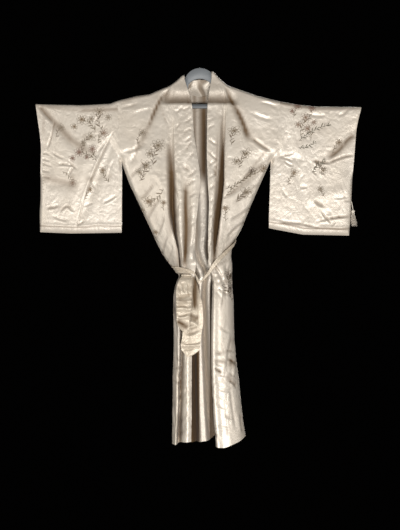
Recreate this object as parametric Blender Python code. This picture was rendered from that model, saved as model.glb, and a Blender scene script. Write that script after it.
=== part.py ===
"""Silk kimono on a flat moulded hanger, tied at the waist with its own sash.

The frame is +X to the viewer's right, +Y to the back and +Z up.  The origin is the
middle of the flat back face of the hanger's crown.  Sizes below are in millimetres and
become metres when a mesh is made.

Each panel is a grid of points: its columns run down the cloth along folds, its rows run
round it at one height.  The fold tables give the columns, the envelope gives how far the
garment stands out in front and behind, and a wall is the grid with a thickness.
"""
import math

import bmesh
import bpy
import numpy as np

MM = 0.001
SILK_THICKNESS = 1.5
SEAM_GAP = 0.3
MIDDLE_Y = -6.0
SECTION_POWER = 2.2
ARMHOLE_SHARE = 0.9
# Height over which the oval widens above the underarm
ARMHOLE_RISE = 45.0
UNDERARM_Z = -331.0
BAR_TOP_Z = -118.0
WAIST_Z = -752.0
RIDGE_Y = -5.0
RIDGE_ROUND = 12.0
SHOULDER_REACH = 70.0
# Width over which the neckline's corners turn into the shoulder
NECK_CORNER = 40.0
HEM_Z = -1400.0

CROWN_RADIUS = 60.0
CROWN_TOP_Z = 22.0
CROWN_X = -4.0
CROWN_LOWER_Z = -20.0
CROWN_LOWER_RADIUS = 55.0
PLATE_THICKNESS = 9.0
BAR_HEIGHT = 17.0
HANGER_HALF_WIDTH = 192.0
ARM_HEIGHT = 33.0
BAR_FORWARD = 22.0
BAR_BOW = 4.5
ARM_FORWARD_Z = -70.0
HANGER_CHAMFER = 2.5
HANGER_STEPS = 29
# How far the hanger's arms stay under the shoulder line, half the silk and a gap
SEAT_DROP = 1.6
# Share of the hanger's half width at which its inner outline turns from arm to bar
HANGER_OPEN_SHARE = 0.87
# Half width of the arch cut under the crown
ARCH_HALF_WIDTH = 45.0
# Least height of the hanger's opening over its bar
HANGER_OPEN_LEAST = 3.0
# The crown's back face is flat above this height and nearer the middle than this
CROWN_FLAT_X = 75.0
CROWN_FLAT_Z = -60.0

# Upper outline of the hanger's arms
# columns: x, height
HANGER_ARMS = [
    (-192, -79.6),
    (-156, -62.6),
    (-118, -47.6),
    (-80, -31),
    (60, -31),
    (101, -47.8),
    (139, -59.6),
    (192, -78.5),
]

# The garment's sides and how far it stands out before and behind its middle plane
# columns: height, left side x, right side x, front depth, back depth
ENVELOPE = [
    (-20, -330, 312, 14, 12),
    (-118, -316.5, 298, 30, 16),
    (-213, -309.7, 290.7, 37, 22),
    (-308, -302.5, 273.6, 44, 28),
    (-331, -300, 264, 45.5, 30),
    (-403, -277, 231.8, 50, 34),
    (-498, -233.7, 190, 54, 42),
    (-593, -190, 151.2, 56, 47),
    (-669, -153.9, 116, 56, 49),
    (-700, -135, 115, 55, 49),
    (-722, -119, 119, 54, 49),
    (-745, -95, 118.6, 52, 49),
    (-768, -84.4, 117.8, 53, 50),
    (-798, -95, 118, 57, 54),
    (-859, -104.5, 122.7, 63, 59),
    (-1011, -103.4, 126.2, 68, 64),
    (-1163, -107, 143.3, 71, 67),
    (-1277, -108.3, 155, 73, 69),
    (-1400, -109.4, 173, 75, 71),
]

# The shoulder line from cuff to cuff
# columns: x, height
SHOULDER_LINE = [
    (-627, -116),
    (-452, -120),
    (-346, -114),
    (-317, -103),
    (-241, -84),
    (-194, -78),
    (-156, -61),
    (-118, -46),
    (-90, -25),
    (-70, -6),
    (46, 9.5),
    (66, -14),
    (101, -46),
    (139, -58),
    (215, -85),
    (298, -105),
    (357, -116),
    (433, -125),
    (608, -127),
]

# Heights of the rows of a body panel, from the shoulder line (a share of the way to the
# bar) and then true heights to the hem
SHOULDER_SHARES = [0.0, 0.06, 0.3, 0.65]
BODY_HEIGHTS = [
    BAR_TOP_Z, -160, -215, -275, UNDERARM_Z, -385, -445, -505, -565, -622, -668, -704,
    -730, WAIST_Z, -776, -806, -850, -920, -1010, -1110, -1210, -1310,
]

# Heights at which the fold tables give a fold's place across the garment
UPPER_STATIONS = [-20, BAR_TOP_Z, -213, -308, -403, -498, -593, -669, -722, WAIST_Z]
LOWER_STATIONS = [-798, -859, -1011, -1163, -1277, -1400]

# Folds of the left front, from its free edge to its side
# columns: name, x at the upper stations, relief there, x at the lower stations, relief there
LEFT_FRONT_FOLDS = [
    ("free edge",
     (-63, -35, -28, -15, -3, -11, -20, -24.5, -19.5, -22),
     (0, 2, 4, 6, 8, 6, 5, 4, 4, 8),
     (-30, -34, -34, -35, -35, -37), (10, 12, 12, 12, 12, 12)),
    ("collar crest",
     (-68, -49, -44, -34, -26, -30, -32, -40, -40, -38),
     (0, 0, 0, 0, 0, 0, 0, 0, 0, 3),
     (-48, -50, -50, -51, -51, -52), (0, 0, 0, 0, 0, 0)),
    ("collar valley",
     (-76, -66, -66, -62, -58, -56, -52, -58, -63, -60),
     (0, 1, 1, 3, 8, 14, 18, 16, 10, 6),
     (-58, -58, -57, -58, -59, -61), (1, 1, 1, 1, 1, 1)),
    ("collar ridge",
     (-82, -84, -84, -84, -81, -79, -77, -71, -69.5, -68),
     (0, 0, 0, 0, 0, 0, 0, 0, 0, 3),
     (-67, -65, -62, -64, -68, -70), (3, 3, 3, 4, 6, 8)),
    ("collar seam",
     (-90, -99, -99, -100, -96, -93, -88, -80, -75, -74),
     (0, 0, 1, 3, 5, 8, 9, 8, 6, 6),
     (-73, -72, -68, -72, -75, -78), (34, 38, 40, 44, 46, 48)),
    ("deep valley",
     (-101, -114, -112, -109, -106, -107, -103, -90, -82.5, -79),
     (0, 2, 6, 13, 22, 34, 42, 36, 26, 18),
     (-76, -76, -73, -77, -81, -86), (44, 52, 56, 58, 60, 62)),
    ("overhanging edge",
     (-118, -129, -131, -134, -130, -127, -109, -89, -84, -80.5),
     (0, 0, 0, 0, 0, 0, 0, 0, 0, 2),
     (-80, -82, -81, -84, -87, -92), (6, 7, 6, 7, 9, 12)),
]

# Folds of the right front, from its free edge to its side
RIGHT_FRONT_FOLDS = [
    ("free edge",
     (40, 25, 23, 22, 25, 30, 27, 26, 25, 30),
     (0, 2, 4, 5, 6, 5, 5, 4, 4, 10),
     (42, 41, 38, 40, 46, 56), (12, 12, 12, 12, 14, 16)),
    ("collar crest",
     (46, 38, 37, 36, 38, 40, 36, 34, 35, 40),
     (0, 0, 0, 0, 0, 0, 0, 0, 0, 2),
     (50, 50, 46, 47, 53, 62), (0, 0, 0, 0, 0, 0)),
    ("collar middle",
     (53, 58, 56, 54, 54, 48, 42, 39, 41, 48),
     (0, 1, 2, 2, 2, 3, 4, 4, 3, 2),
     (62, 64, 64, 68, 76, 86), (2, 2, 2, 3, 3, 4)),
    ("collar seam",
     (66, 79, 73, 67, 62, 54, 46, 43.5, 45, 56),
     (0, 0, 1, 1, 5, 10, 12, 10, 6, 3),
     (75, 80, 84, 90, 98, 110), (0, 0, 0, 0, 0, 0)),
    ("deep valley",
     (78, 89, 86, 85, 86, 78, 65, 52, 50, 66),
     (0, 3, 10, 24, 36, 40, 34, 22, 12, 6),
     (88, 94, 100, 110, 120, 134), (4, 3, 2, 2, 3, 4)),
    ("overhanging edge",
     (92, 99, 95, 91, 89, 80, 69, 59, 57, 76),
     (0, 0, 0, 0, 0, 0, 0, 0, 0, 2),
     (98, 105, 112, 125, 136, 152), (0, 0, 0, 0, 0, 0)),
]

# Soft folds of the outer part of each front, between the overhanging edge and the side
# columns: name, share of that width at the shoulders, the waist and the hem, then relief
# at the chest, the waist and the hem
OUTER_FOLDS = [
    ("outer swell", 0.35, 0.34, 0.3, 3, 1, 1),
    ("outer hollow", 0.7, 0.68, 0.66, 6, 4, 3),
]

# Folds of the back from the left side to the right side
# columns: name, share of the width at the shoulders, at the waist and at the hem, then
# relief at the chest, the waist and the hem
BACK_FOLDS = [
    ("left flank", 0.09, 0.05, 0.06, 0, 2, 4),
    ("left flank valley", 0.18, 0.12, 0.13, 2, 26, 40),
    ("left shoulder ridge", 0.27, 0.195, 0.195, 0, 1, 3),
    ("left gather", 0.34, 0.265, 0.26, 3, 30, 44),
    ("left neck corner", 0.3694, 0.33, 0.325, 0, 1, 2),
    ("left neck turn", 0.3784, 0.35, 0.345, 0, 5, 10),
    ("left inner fold", 0.44, 0.43, 0.43, 2, 28, 52),
    ("centre seam", 0.5, 0.51, 0.515, 0, 5, 8),
    ("right inner fold", 0.56, 0.59, 0.585, 2, 30, 40),
    ("right neck turn", 0.6144, 0.64, 0.635, 0, 5, 10),
    ("right neck corner", 0.6217, 0.655, 0.65, 0, 1, 2),
    ("right gather", 0.68, 0.715, 0.715, 3, 30, 50),
    ("right shoulder ridge", 0.76, 0.78, 0.775, 0, 1, 2),
    ("right flank valley", 0.84, 0.87, 0.86, 2, 26, 38),
    ("right flank", 0.92, 0.95, 0.945, 0, 2, 4),
]

# Folds, counted from the left side, where the neckline starts, where the centre seam
# runs and where the neckline ends
BACK_NECK_FOLD = 5
BACK_MIDDLE_FOLD = 8
BACK_NECK_END_FOLD = 11

# Neckline of the back, where the collar is sewn to it
# columns: x, depth, height
NECKLINE = [
    (-90, -5, -25),
    (-84, 4, -30),
    (-64, 9, -60),
    (-30, 11, -80),
    (0, 12, -85),
    (28, 11, -78),
    (48, 9, -54),
    (61, 4, -21),
    (66, -5, -14),
]
# Upper edge of the collar round the nape, behind the crown
NAPE_EDGE = [
    (-63, -5, -5),
    (-65, 0, -6),
    (-66, 4, -8),
    (-60, 8, -16),
    (-46, 8, -25),
    (-28, 8, -30),
    (-9, 8, -31),
    (9, 8, -31),
    (24, 8, -26),
    (36, 8, -14),
    (43, 4, 4),
    (42, 0, 7),
    (40, -5, 8.7),
]

NAPE_BELLY = 4.0
NAPE_COLUMNS = 4

# Hem heights across the garment
# columns: x, height
LEFT_HEM = [(-110, -1402), (-96, -1404), (-84, -1402), (-72, -1392), (-35, -1389)]
RIGHT_HEM = [(54, -1406), (80, -1412), (106, -1404), (148, -1388), (173, -1372)]
BACK_HEM = [(-110, -1398), (-10, -1402), (40, -1392), (52, -1372), (70, -1392), (173, -1374)]

# Sleeve outlines
# columns: height, outer edge x
LEFT_CUFF = [(-116, -627), (-178, -618), (-240, -609.5), (-290, -606), (-380, -608),
             (-467, -608), (-536, -611), (-605, -609.5)]
RIGHT_CUFF = [(-127, 608), (-213, 589), (-327, 579.5), (-403, 573), (-524, 568),
              (-614, 561)]
# columns: share from the outer edge to the body, height of the lower edge
LEFT_SLEEVE_FOOT = [(0.0, -601), (0.38, -606), (1.0, -603)]
RIGHT_SLEEVE_FOOT = [(0.0, -614), (0.58, -610), (1.0, -586)]
# x of the sleeve's free inner edge at its lower end
LEFT_INNER_FOOT = -301.0
RIGHT_INNER_FOOT = 257.5
SLEEVE_MIDDLE_Y = -8.0
SLEEVE_HALF_DEPTH = 13.0
CUFF_OPENING_FOOT = -395.0
FOLD_ROUND = 16.0
SEAM_ROUND = 34.0
# Length over which a sleeve turns into the body, and over which its mouth narrows
SLEEVE_BLEND = 55.0
MOUTH_REACH = 70.0
MOUTH_CLOSING = 0.35
# Drop below the underarm over which the sleeve's inner edge comes free
FREE_EDGE_DROP = 250.0
SLEEVE_ROWS = 12
SLEEVE_COLUMNS = 12
# How much closer together a sleeve's rows lie at its fold and its foot
ROW_CROWDING = 0.35

# Broad creases of the sleeves
# columns: start x and height, end x and height, half width, depth (minus is a ridge)
LEFT_SLEEVE_CREASES = [
    (-612, -128, -460, -300, 16, 4.5),
    (-318, -238, -470, -590, 14, 5.0),
    (-345, -250, -395, -315, 16, 3.5),
    (-580, -420, -470, -420, 18, 3.5),
    (-440, -330, -500, -520, 20, -3.0),
]
RIGHT_SLEEVE_CREASES = [
    (592, -205, 480, -318, 16, 4.5),
    (290, -310, 380, -326, 16, 4.0),
    (455, -548, 490, -520, 14, 3.5),
    (300, -180, 420, -560, 20, 4.0),
    (400, -480, 560, -440, 20, -3.0),
]
BACK_SLEEVE_CREASES = [
    (0.1, 0.04, 0.62, 0.46, 18, 3.5),
    (0.98, 0.25, 0.55, 0.95, 16, 4.5),
    (0.15, 0.7, 0.6, 0.6, 18, -3.0),
]

# Course of the sash round the waist, looked at from above and going round clockwise
# columns: name, place across from -1 at the left side to 1 at the right side, height,
# whether it lies before (-1) or behind (1) the middle plane, height of the gathered band
# there, how far it stands off the cloth under it
SASH_COURSE = [
    ("left side", -1.0, -745, -1, 27, 4.0),
    ("left of the knot", -0.84, -745, -1, 26, 3.6),
    ("knot", -0.62, -748, -1, 20, 2.8),
    ("free edge of the left front", -0.42, -754, -1, 12, 4.0),
    ("slack down", -0.29, -776, -1, 11, 8.6),
    ("lowest point of the slack", -0.17, -790, -1, 11, 9.0),
    ("slack up", -0.01, -772, -1, 12, 6.0),
    ("right front", 0.36, -730, -1, 18, 2.8),
    ("right hip", 0.76, -687, -1, 20, 2.6),
    ("right flank", 0.95, -660, -1, 20, 2.6),
    ("right side", 1.0, -645, -1, 20, 3.6),
    ("right edge of the back", 0.96, -641, 1, 22, 3.4),
    ("right of the back", 0.8, -642, 1, 24, 3.0),
    ("right middle of the back", 0.4, -660, 1, 28, 2.2),
    ("left middle of the back", -0.25, -700, 1, 30, 2.2),
    ("left of the back", -0.78, -738, 1, 28, 3.4),
]
# Gathers across the band: share of its height, how far the fold stands out
SASH_PLEATS = [(-0.5, 0.0), (-0.3, 4.0), (-0.12, 1.0), (0.06, 4.5), (0.24, 1.2),
               (0.4, 3.6), (0.5, 0.6)]
# Band heights at which the gathers lie flat and at which they stand out as the table says
FLAT_HEIGHT = 10.0
PLEATED_HEIGHT = 27.0
SASH_THICKNESS = 1.2
# Hanging ends of the sash: height, left edge x, right edge x, stand-off from the skirt
SHORT_END = [
    (-768.5, -74, -38, 7.8), (-784, -83, -35, 17), (-803, -90, -34, 17),
    (-829, -93, -34, 20), (-846, -92.5, -34, 15), (-862, -92, -35, 21),
    (-874, -92, -36, 16), (-889, -91.5, -38, 21), (-904, -91.5, -39, 16),
    (-919, -91, -41, 20), (-934, -91, -44, 17), (-948, -88, -43, 17),
    (-966, -76, -45, 14), (-978, -66, -50, 13),
]
LONG_END = [
    (-769, -62, -28, 2.4), (-798, -66, -14, 2.6), (-842, -68, -4, 5),
    (-866, -68, 4, 7), (-905, -69, 7, 8), (-935, -69, 8, 6),
    (-960, -69, 6, 6), (-980, -69, 2, 8), (-1010, -73, -1, 9),
    (-1024, -76, -3, 12), (-1040, -74, -5, 8), (-1056, -63, -20, 8),
    (-1069, -53, -42, 8),
]
END_BELLY = 3.0
END_COLUMNS = 6
# The ends lie on the oval between these places, and never behind its depth at the last
END_LEFT_X = -85.0
END_RIGHT_X = 200.0
END_REST_X = -45.0
SASH_STEPS = 3
# x, depth worked out from the cloth, height
KNOT_CENTRE = (-54.0, 0.0, -764.0)
KNOT_HALF = (22.0, 6.5, 4.4)
# How far the knot's middle stands off the cloth behind it
KNOT_STAND = 10.5
KNOT_TURNS = 12
KNOT_RINGS = 9

# Tassel that hangs from the right cuff
TASSEL_TOP = (571.3, -8.0, -486.0)
TASSEL_SLANT = 5.4
TASSEL_STEM = 30.0
TASSEL_STEM_RADIUS = 1.3
TASSEL_HEAD_RADIUS = 7.0
TASSEL_HEAD_HEIGHT = 13.0
TASSEL_LENGTH = 52.0
# Profile of the head: share of its radius, drop below the stem
TASSEL_PROFILE = [(0.7, 3.0), (1.0, 7.0), (0.86, TASSEL_HEAD_HEIGHT)]
TASSEL_RINGS = (0.34, 0.72)
TASSEL_ROOT_INSET = 0.32
TASSEL_UNEVEN = 0.1
TASSEL_STRANDS = 14
TASSEL_LEVELS = 2
TASSEL_SPREAD = 1.75

# Base colours and roughness
SILK_COLOUR = (0.80, 0.74, 0.66)
SILK_ROUGHNESS = 0.42
SASH_COLOUR = (0.77, 0.70, 0.60)
TASSEL_COLOUR = (0.70, 0.62, 0.50)
HANGER_COLOUR = (0.33, 0.35, 0.37)
HANGER_ROUGHNESS = 0.5

COLUMNS_PER_FOLD = 2
# Folds, counted from the free edge, along which each front is sewn to its collar
LEFT_SEAM_FOLD = 4
RIGHT_SEAM_FOLD = 3
# Height of the shoulder line at each armhole
SIDE_TOP = {-1: -103.0, 1: -105.0}


def column(table, index):
    """One column of a table as an array."""
    return np.array([row[index] for row in table], dtype=float)


def smooth_curve(knots, values, wanted):
    """A smooth curve through the values that never swings past them (monotone cubic)."""
    knots = np.asarray(knots, dtype=float)
    values = np.asarray(values, dtype=float)
    if knots[0] > knots[-1]:
        knots = knots[::-1]
        values = values[::-1]
    step = np.diff(knots)
    slope = np.diff(values) / step
    tangent = np.zeros(len(knots))
    tangent[0] = slope[0]
    tangent[-1] = slope[-1]
    same = slope[:-1] * slope[1:] > 0
    mean = 2 * slope[:-1] * slope[1:] / np.where(same, slope[:-1] + slope[1:], 1.0)
    tangent[1:-1] = np.where(same, mean, 0.0)
    wanted = np.clip(np.asarray(wanted, dtype=float), knots[0], knots[-1])
    place = np.clip(np.searchsorted(knots, wanted) - 1, 0, len(step) - 1)
    t = (wanted - knots[place]) / step[place]
    start = values[place]
    end = values[place + 1]
    swing_in = tangent[place] * step[place]
    swing_out = tangent[place + 1] * step[place]
    return (
        (2 * t**3 - 3 * t**2 + 1) * start
        + (t**3 - 2 * t**2 + t) * swing_in
        + (3 * t**2 - 2 * t**3) * end
        + (t**3 - t**2) * swing_out
    )


def rounded_line(points, per_span):
    """Points on a Catmull-Rom curve through points; the last axis holds x, y and z."""
    padded = np.concatenate(
        [2 * points[:1] - points[1:2], points, 2 * points[-1:] - points[-2:-1]]
    )
    pieces = []
    for k in range(len(points) - 1):
        before, start, end, after = padded[k:k + 4]
        for step in range(per_span):
            t = step / per_span
            pieces.append(
                0.5 * (2 * start + (end - before) * t
                       + (2 * before - 5 * start + 4 * end - after) * t**2
                       + (3 * start - before - 3 * end + after) * t**3)
            )
    pieces.append(points[-1])
    return np.array(pieces)


def ease(low, high, value):
    """0 below low, 1 above high, and a soft step between them."""
    t = np.clip((np.asarray(value, dtype=float) - low) / (high - low), 0.0, 1.0)
    return t * t * (3 - 2 * t)


def envelope(x, z, side):
    """Depth y of the garment's outside: an oval whose half width and depth follow z.

    side is -1 for the front and 1 for the back.  Above the underarm the oval is wider
    than the garment, so that front and back stay apart at the armhole.
    """
    heights = column(ENVELOPE, 0)
    left = smooth_curve(heights, column(ENVELOPE, 1), z)
    right = smooth_curve(heights, column(ENVELOPE, 2), z)
    depth = smooth_curve(heights, column(ENVELOPE, 3 if side < 0 else 4), z)
    centre = (left + right) / 2
    across = np.abs(x - centre) / ((right - left) / 2)
    across = across * (1 - (1 - ARMHOLE_SHARE) * ease(UNDERARM_Z, UNDERARM_Z + ARMHOLE_RISE, z))
    across = np.clip(across, 0.0, 1.0)
    return MIDDLE_Y + side * depth * (1 - across**SECTION_POWER) ** (1 / SECTION_POWER)


def garment_side(z, side):
    """x of the garment's left (-1) or right (1) side at height z."""
    return smooth_curve(column(ENVELOPE, 0), column(ENVELOPE, 1 if side < 0 else 2), z)


def round_the_shoulder(y, drop):
    """Draw the depth y in to the shoulder line over the first few millimetres of drop."""
    t = np.clip(drop / RIDGE_ROUND, 0.0, 1.0)
    return RIDGE_Y + (y - RIDGE_Y) * np.sqrt(1 - (1 - t) ** 2)


def row_heights(top, foot):
    """Heights of every row of a column that runs from top to foot."""
    upper = [top + (BAR_TOP_Z - top) * share for share in SHOULDER_SHARES]
    return np.array(upper + BODY_HEIGHTS + [foot])


def fold_column(fold, top, foot):
    """x, relief and height of one fold of a front, from the shoulder to the hem."""
    name, upper_x, upper_relief, lower_x, lower_relief = fold
    stations = UPPER_STATIONS + LOWER_STATIONS
    z = row_heights(top, foot)
    x = smooth_curve(stations, upper_x + lower_x, z)
    relief = smooth_curve(stations, upper_relief + lower_relief, z)
    return np.stack([x, relief, z], axis=-1)


def front_panel(folds, side_sign, hem):
    """Grid of a whole front: rows from shoulder to hem, columns from free edge to side."""
    columns = []
    for fold in folds:
        foot = float(np.interp(fold[3][-1], column(hem, 0), column(hem, 1)))
        columns.append(fold_column(fold, shoulder_height(fold[1][0]), foot))
    name, edge_upper, upper_relief, edge_lower, lower_relief = folds[-1]
    end_fold = ("side", 1.0, 1.0, 1.0, 0, 0, 0)
    for name, at_shoulder, at_waist, at_hem, chest, waist, skirt in OUTER_FOLDS + [end_fold]:
        side_top = float(garment_side(SIDE_TOP[side_sign], side_sign))
        top_x = edge_upper[0] * (1 - at_shoulder) + side_top * at_shoulder
        foot_x = edge_lower[-1] * (1 - at_hem) + garment_side(HEM_Z, side_sign) * at_hem
        foot = float(np.interp(foot_x, column(hem, 0), column(hem, 1)))
        z = row_heights(shoulder_height(top_x), foot)
        share = smooth_curve([0, -200, -700, -800, HEM_Z],
                             [at_shoulder, at_shoulder, at_waist, at_waist, at_hem], z)
        edge_x = smooth_curve(UPPER_STATIONS + LOWER_STATIONS, edge_upper + edge_lower, z)
        x = edge_x * (1 - share) + garment_side(z, side_sign) * share
        relief = smooth_curve([0, -130, -280, -420, -700, -800, HEM_Z],
                              [0, 0, chest, chest, waist, waist, skirt], z)
        columns.append(np.stack([x, relief, z], axis=-1))
    x, relief, z = rounded_line(np.array(columns), COLUMNS_PER_FOLD).transpose(2, 1, 0)
    z = drawn_up(z, shoulder_height(x[0]))
    y = round_the_shoulder(envelope(x, z, -1) + relief, z[0] - z)
    return np.stack([x, y, z], axis=-1)


def shoulder_height(x):
    """Height of the shoulder line at x."""
    return np.interp(x, column(SHOULDER_LINE, 0), column(SHOULDER_LINE, 1))


def drawn_up(z, top):
    """Heights whose first row is moved to top, the rows below it following less and less."""
    return z + (top - z[0]) * (1 - ease(0, SHOULDER_REACH, z[0] - z))


def back_top(x):
    """Depth and height of the back's upper edge, and where it is the neckline."""
    inside = (x > NECKLINE[0][0] + 0.1) & (x < NECKLINE[-1][0] - 0.1)
    neck_y = smooth_curve(column(NECKLINE, 0), column(NECKLINE, 1), x)
    neck_z = smooth_curve(column(NECKLINE, 0), column(NECKLINE, 2), x)
    top_y = np.where(inside, neck_y, RIDGE_Y)
    return top_y, np.where(inside, neck_z, shoulder_height(x)), inside


def from_neck_corner(x):
    """How far x lies inside the nearer corner of the neckline."""
    return np.minimum(x - NECKLINE[0][0], NECKLINE[-1][0] - x)


def neckline_normal(line):
    """Outward unit vectors along the neckline: up at its corners and back at the nape."""
    run = np.gradient(line, axis=0)
    run = run / np.linalg.norm(run, axis=-1, keepdims=True)
    turned = ease(0, RIDGE_ROUND, from_neck_corner(line[:, 0]))[:, None]
    aim = turned * np.array([0.0, 1.0, 0.0]) + (1 - turned) * np.array([0.0, 0.0, 1.0])
    square = aim - run * (aim * run).sum(axis=-1, keepdims=True)
    return square / np.linalg.norm(square, axis=-1, keepdims=True)


def back_panel():
    """Grid of the whole back: rows from shoulder to hem, columns from left to right."""
    names = [("left side", 0.0, 0.0, 0.0, 0, 0, 0)] + BACK_FOLDS
    names = names + [("right side", 1.0, 1.0, 1.0, 0, 0, 0)]
    columns = []
    for name, at_shoulder, at_waist, at_hem, chest, waist, skirt in names:
        top_x = garment_side(SIDE_TOP[-1], -1) * (1 - at_shoulder)
        top_x = float(top_x + garment_side(SIDE_TOP[1], 1) * at_shoulder)
        top = float(back_top(top_x)[1])
        foot_x = garment_side(HEM_Z, -1) * (1 - at_hem) + garment_side(HEM_Z, 1) * at_hem
        foot = float(np.interp(foot_x, column(BACK_HEM, 0), column(BACK_HEM, 1)))
        z = row_heights(top, foot)
        share = smooth_curve([0, -300, -700, -820, HEM_Z],
                             [at_shoulder, at_shoulder, at_waist, at_waist, at_hem], z)
        left = garment_side(np.minimum(z, SIDE_TOP[-1]), -1)
        x = left * (1 - share) + garment_side(np.minimum(z, SIDE_TOP[1]), 1) * share
        relief = smooth_curve([0, -150, -350, -700, -790, -1000, HEM_Z],
                              [0, 0, chest, waist * 0.8, waist, skirt * 0.9, skirt], z)
        columns.append(np.stack([x, relief, z], axis=-1))
    x, relief, z = rounded_line(np.array(columns), COLUMNS_PER_FOLD).transpose(2, 1, 0)
    top_y, top_z, inside = back_top(x[0])
    z = drawn_up(z, top_z)
    y = envelope(x, z, 1) - relief
    at_shoulder = round_the_shoulder(y, z[0] - z)
    turned = ease(0, NECK_CORNER, from_neck_corner(x[0]))
    reach = RIDGE_ROUND + (SHOULDER_REACH - RIDGE_ROUND) * turned
    at_neck = y + (top_y - y) * (1 - ease(0, reach, z[0] - z))
    return np.stack([x, np.where(inside, at_neck, at_shoulder), z], axis=-1)


def crease_relief(x, z, creases):
    """Sum of soft troughs: each falls off with the distance from its straight line."""
    total = np.zeros(np.shape(x))
    for x0, z0, x1, z1, width, depth in creases:
        run = np.array([x1 - x0, z1 - z0])
        length = np.hypot(*run)
        along = ((x - x0) * run[0] + (z - z0) * run[1]) / length**2
        away = ((x - x0) * run[1] - (z - z0) * run[0]) / length
        fade = ease(-0.12, 0.12, along) * (1 - ease(0.85, 1.15, along))
        total = total + depth * np.exp(-((away / width) ** 2)) * fade
    return total


def sleeve_inner_edge(z, side_sign, foot_x):
    """x of the sleeve's inner edge: along the armhole, then free down to its foot."""
    along = garment_side(np.maximum(z, UNDERARM_Z), side_sign) + side_sign * 2 * SEAM_GAP
    free = ease(UNDERARM_Z, UNDERARM_Z - FREE_EDGE_DROP, z)
    return along + (foot_x - along) * free


def sleeve_layer(cuff, side_sign, inner_foot, foot, creases, side, columns, rows):
    """Grid of one layer of a sleeve, columns from the cuff to the body.

    The layer stands off the sleeve's middle plane.  It is drawn in to that plane in a
    round at the fold on top and at the seams, and meets the body at the armhole.
    """
    share = np.linspace(0, 1, columns)[None, :]
    down = np.linspace(0, 1, rows)[:, None]
    down = down - ROW_CROWDING * down * (1 - down) * (1 - 2 * down)
    low = np.interp(share, column(foot, 0), column(foot, 1))
    outer_top = cuff[0][1]
    inner_top = garment_side(SIDE_TOP[side_sign], side_sign) + side_sign * 2 * SEAM_GAP
    top_x = outer_top + (inner_top - outer_top) * share
    high = np.interp(top_x, column(SHOULDER_LINE, 0), column(SHOULDER_LINE, 1))
    z = high + (low - high) * down
    outer = smooth_curve(column(cuff, 0), column(cuff, 1), z)
    edge = sleeve_inner_edge(z, side_sign, inner_foot)
    x = outer + (edge - outer) * share

    def drawn_in(distance, radius):
        t = np.clip(distance / radius, 0.0, 1.0)
        return np.sqrt(1 - (1 - t) ** 2)

    from_cuff = np.abs(x - outer)
    below_cuff = ease(CUFF_OPENING_FOOT + 40, CUFF_OPENING_FOOT - 10, z)
    cuff_round = 1 - below_cuff * (1 - drawn_in(from_cuff, SEAM_ROUND))
    mouth = 1 - MOUTH_CLOSING * (1 - below_cuff) * (1 - ease(0, MOUTH_REACH, from_cuff))
    half = SLEEVE_HALF_DEPTH * drawn_in(high - z, FOLD_ROUND) * cuff_round * mouth
    half = half * drawn_in(z - low, SEAM_ROUND)
    closed = SILK_THICKNESS / 2 + SEAM_GAP / 2
    half = np.maximum(half, np.where(high - z < 0.5, 0.0, closed))
    y = SLEEVE_MIDDLE_Y + side * half
    soft = ease(0, FOLD_ROUND, high - z) * ease(0, 40, z - low)
    y = y - side * crease_relief(x, z, creases) * soft
    from_body = np.abs(x - edge)
    at_side = garment_side(z, side_sign)
    body_y = round_the_shoulder(envelope(at_side, z, side), high - z)
    near = (1 - ease(0, SLEEVE_BLEND, from_body)) * ease(UNDERARM_Z - 60, UNDERARM_Z + 10, z)
    y = y + (body_y - y) * near
    ridge = high - z < 0.5
    y = np.where(ridge, SLEEVE_MIDDLE_Y + (RIDGE_Y - SLEEVE_MIDDLE_Y) * near, y)
    return np.stack([x, y, z + 0 * x], axis=-1)


def bisecting_run(grid, axis):
    """Direction along one axis of a grid, halfway between the two steps at each point."""
    step = np.diff(grid, axis=axis)
    step = step / np.maximum(np.linalg.norm(step, axis=-1, keepdims=True), 1e-9)
    first = np.take(step, [0], axis=axis)
    last = np.take(step, [-1], axis=axis)
    before = np.concatenate([first, step], axis=axis)
    return before + np.concatenate([step, last], axis=axis)


def grid_normals(grid, outward):
    """Unit normals of a grid, turned to the side that outward gives."""
    normal = np.cross(bisecting_run(grid, 0), bisecting_run(grid, 1))
    length = np.linalg.norm(normal, axis=-1, keepdims=True)
    normal = normal / np.maximum(length, 1e-9)
    if (normal * outward(grid)).sum() < 0:
        normal = -normal
    return normal


def across_the_line(line, sign_axis, sign):
    """Unit vectors square to a line of points in the x-z plane, on the given side."""
    run = np.gradient(line, axis=0)
    square = np.stack([-run[:, 2], 0 * run[:, 0], run[:, 0]], axis=-1)
    square = square / np.linalg.norm(square, axis=-1, keepdims=True)
    return square * np.sign(square[:, sign_axis:sign_axis + 1] * sign)


def upright_ridge(grid, normal, on_ridge=None):
    """Normals whose first row points up, square to the shoulder line."""
    normal = normal.copy()
    up = across_the_line(grid[0], 2, 1)
    chosen = np.ones(len(up), dtype=bool) if on_ridge is None else on_ridge
    normal[0, chosen] = up[chosen]
    return normal


def sideways_seam(grid, normal, column_index, side_sign, side):
    """Part the front from the back at the side seam, with walls that face each other."""
    grid = grid.copy()
    normal = normal.copy()
    sewn = grid[:, column_index, 2] <= UNDERARM_Z + 1
    out = across_the_line(grid[:, column_index], 0, side_sign)
    normal[sewn, column_index] = out[sewn]
    grid[sewn, column_index, 1] += side * SEAM_GAP / 2
    return grid, normal


def inset_edge(grid, axis, at_end, amount):
    """Move the grid's first or last line of points inwards along the cloth."""
    grid = np.moveaxis(grid.copy(), axis, 0)
    here, inner = (-1, -2) if at_end else (0, 1)
    step = grid[inner] - grid[here]
    length = np.linalg.norm(step, axis=-1, keepdims=True)
    grid[here] = grid[here] + step / np.maximum(length, 1e-9) * amount
    return np.moveaxis(grid, 0, axis)


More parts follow.
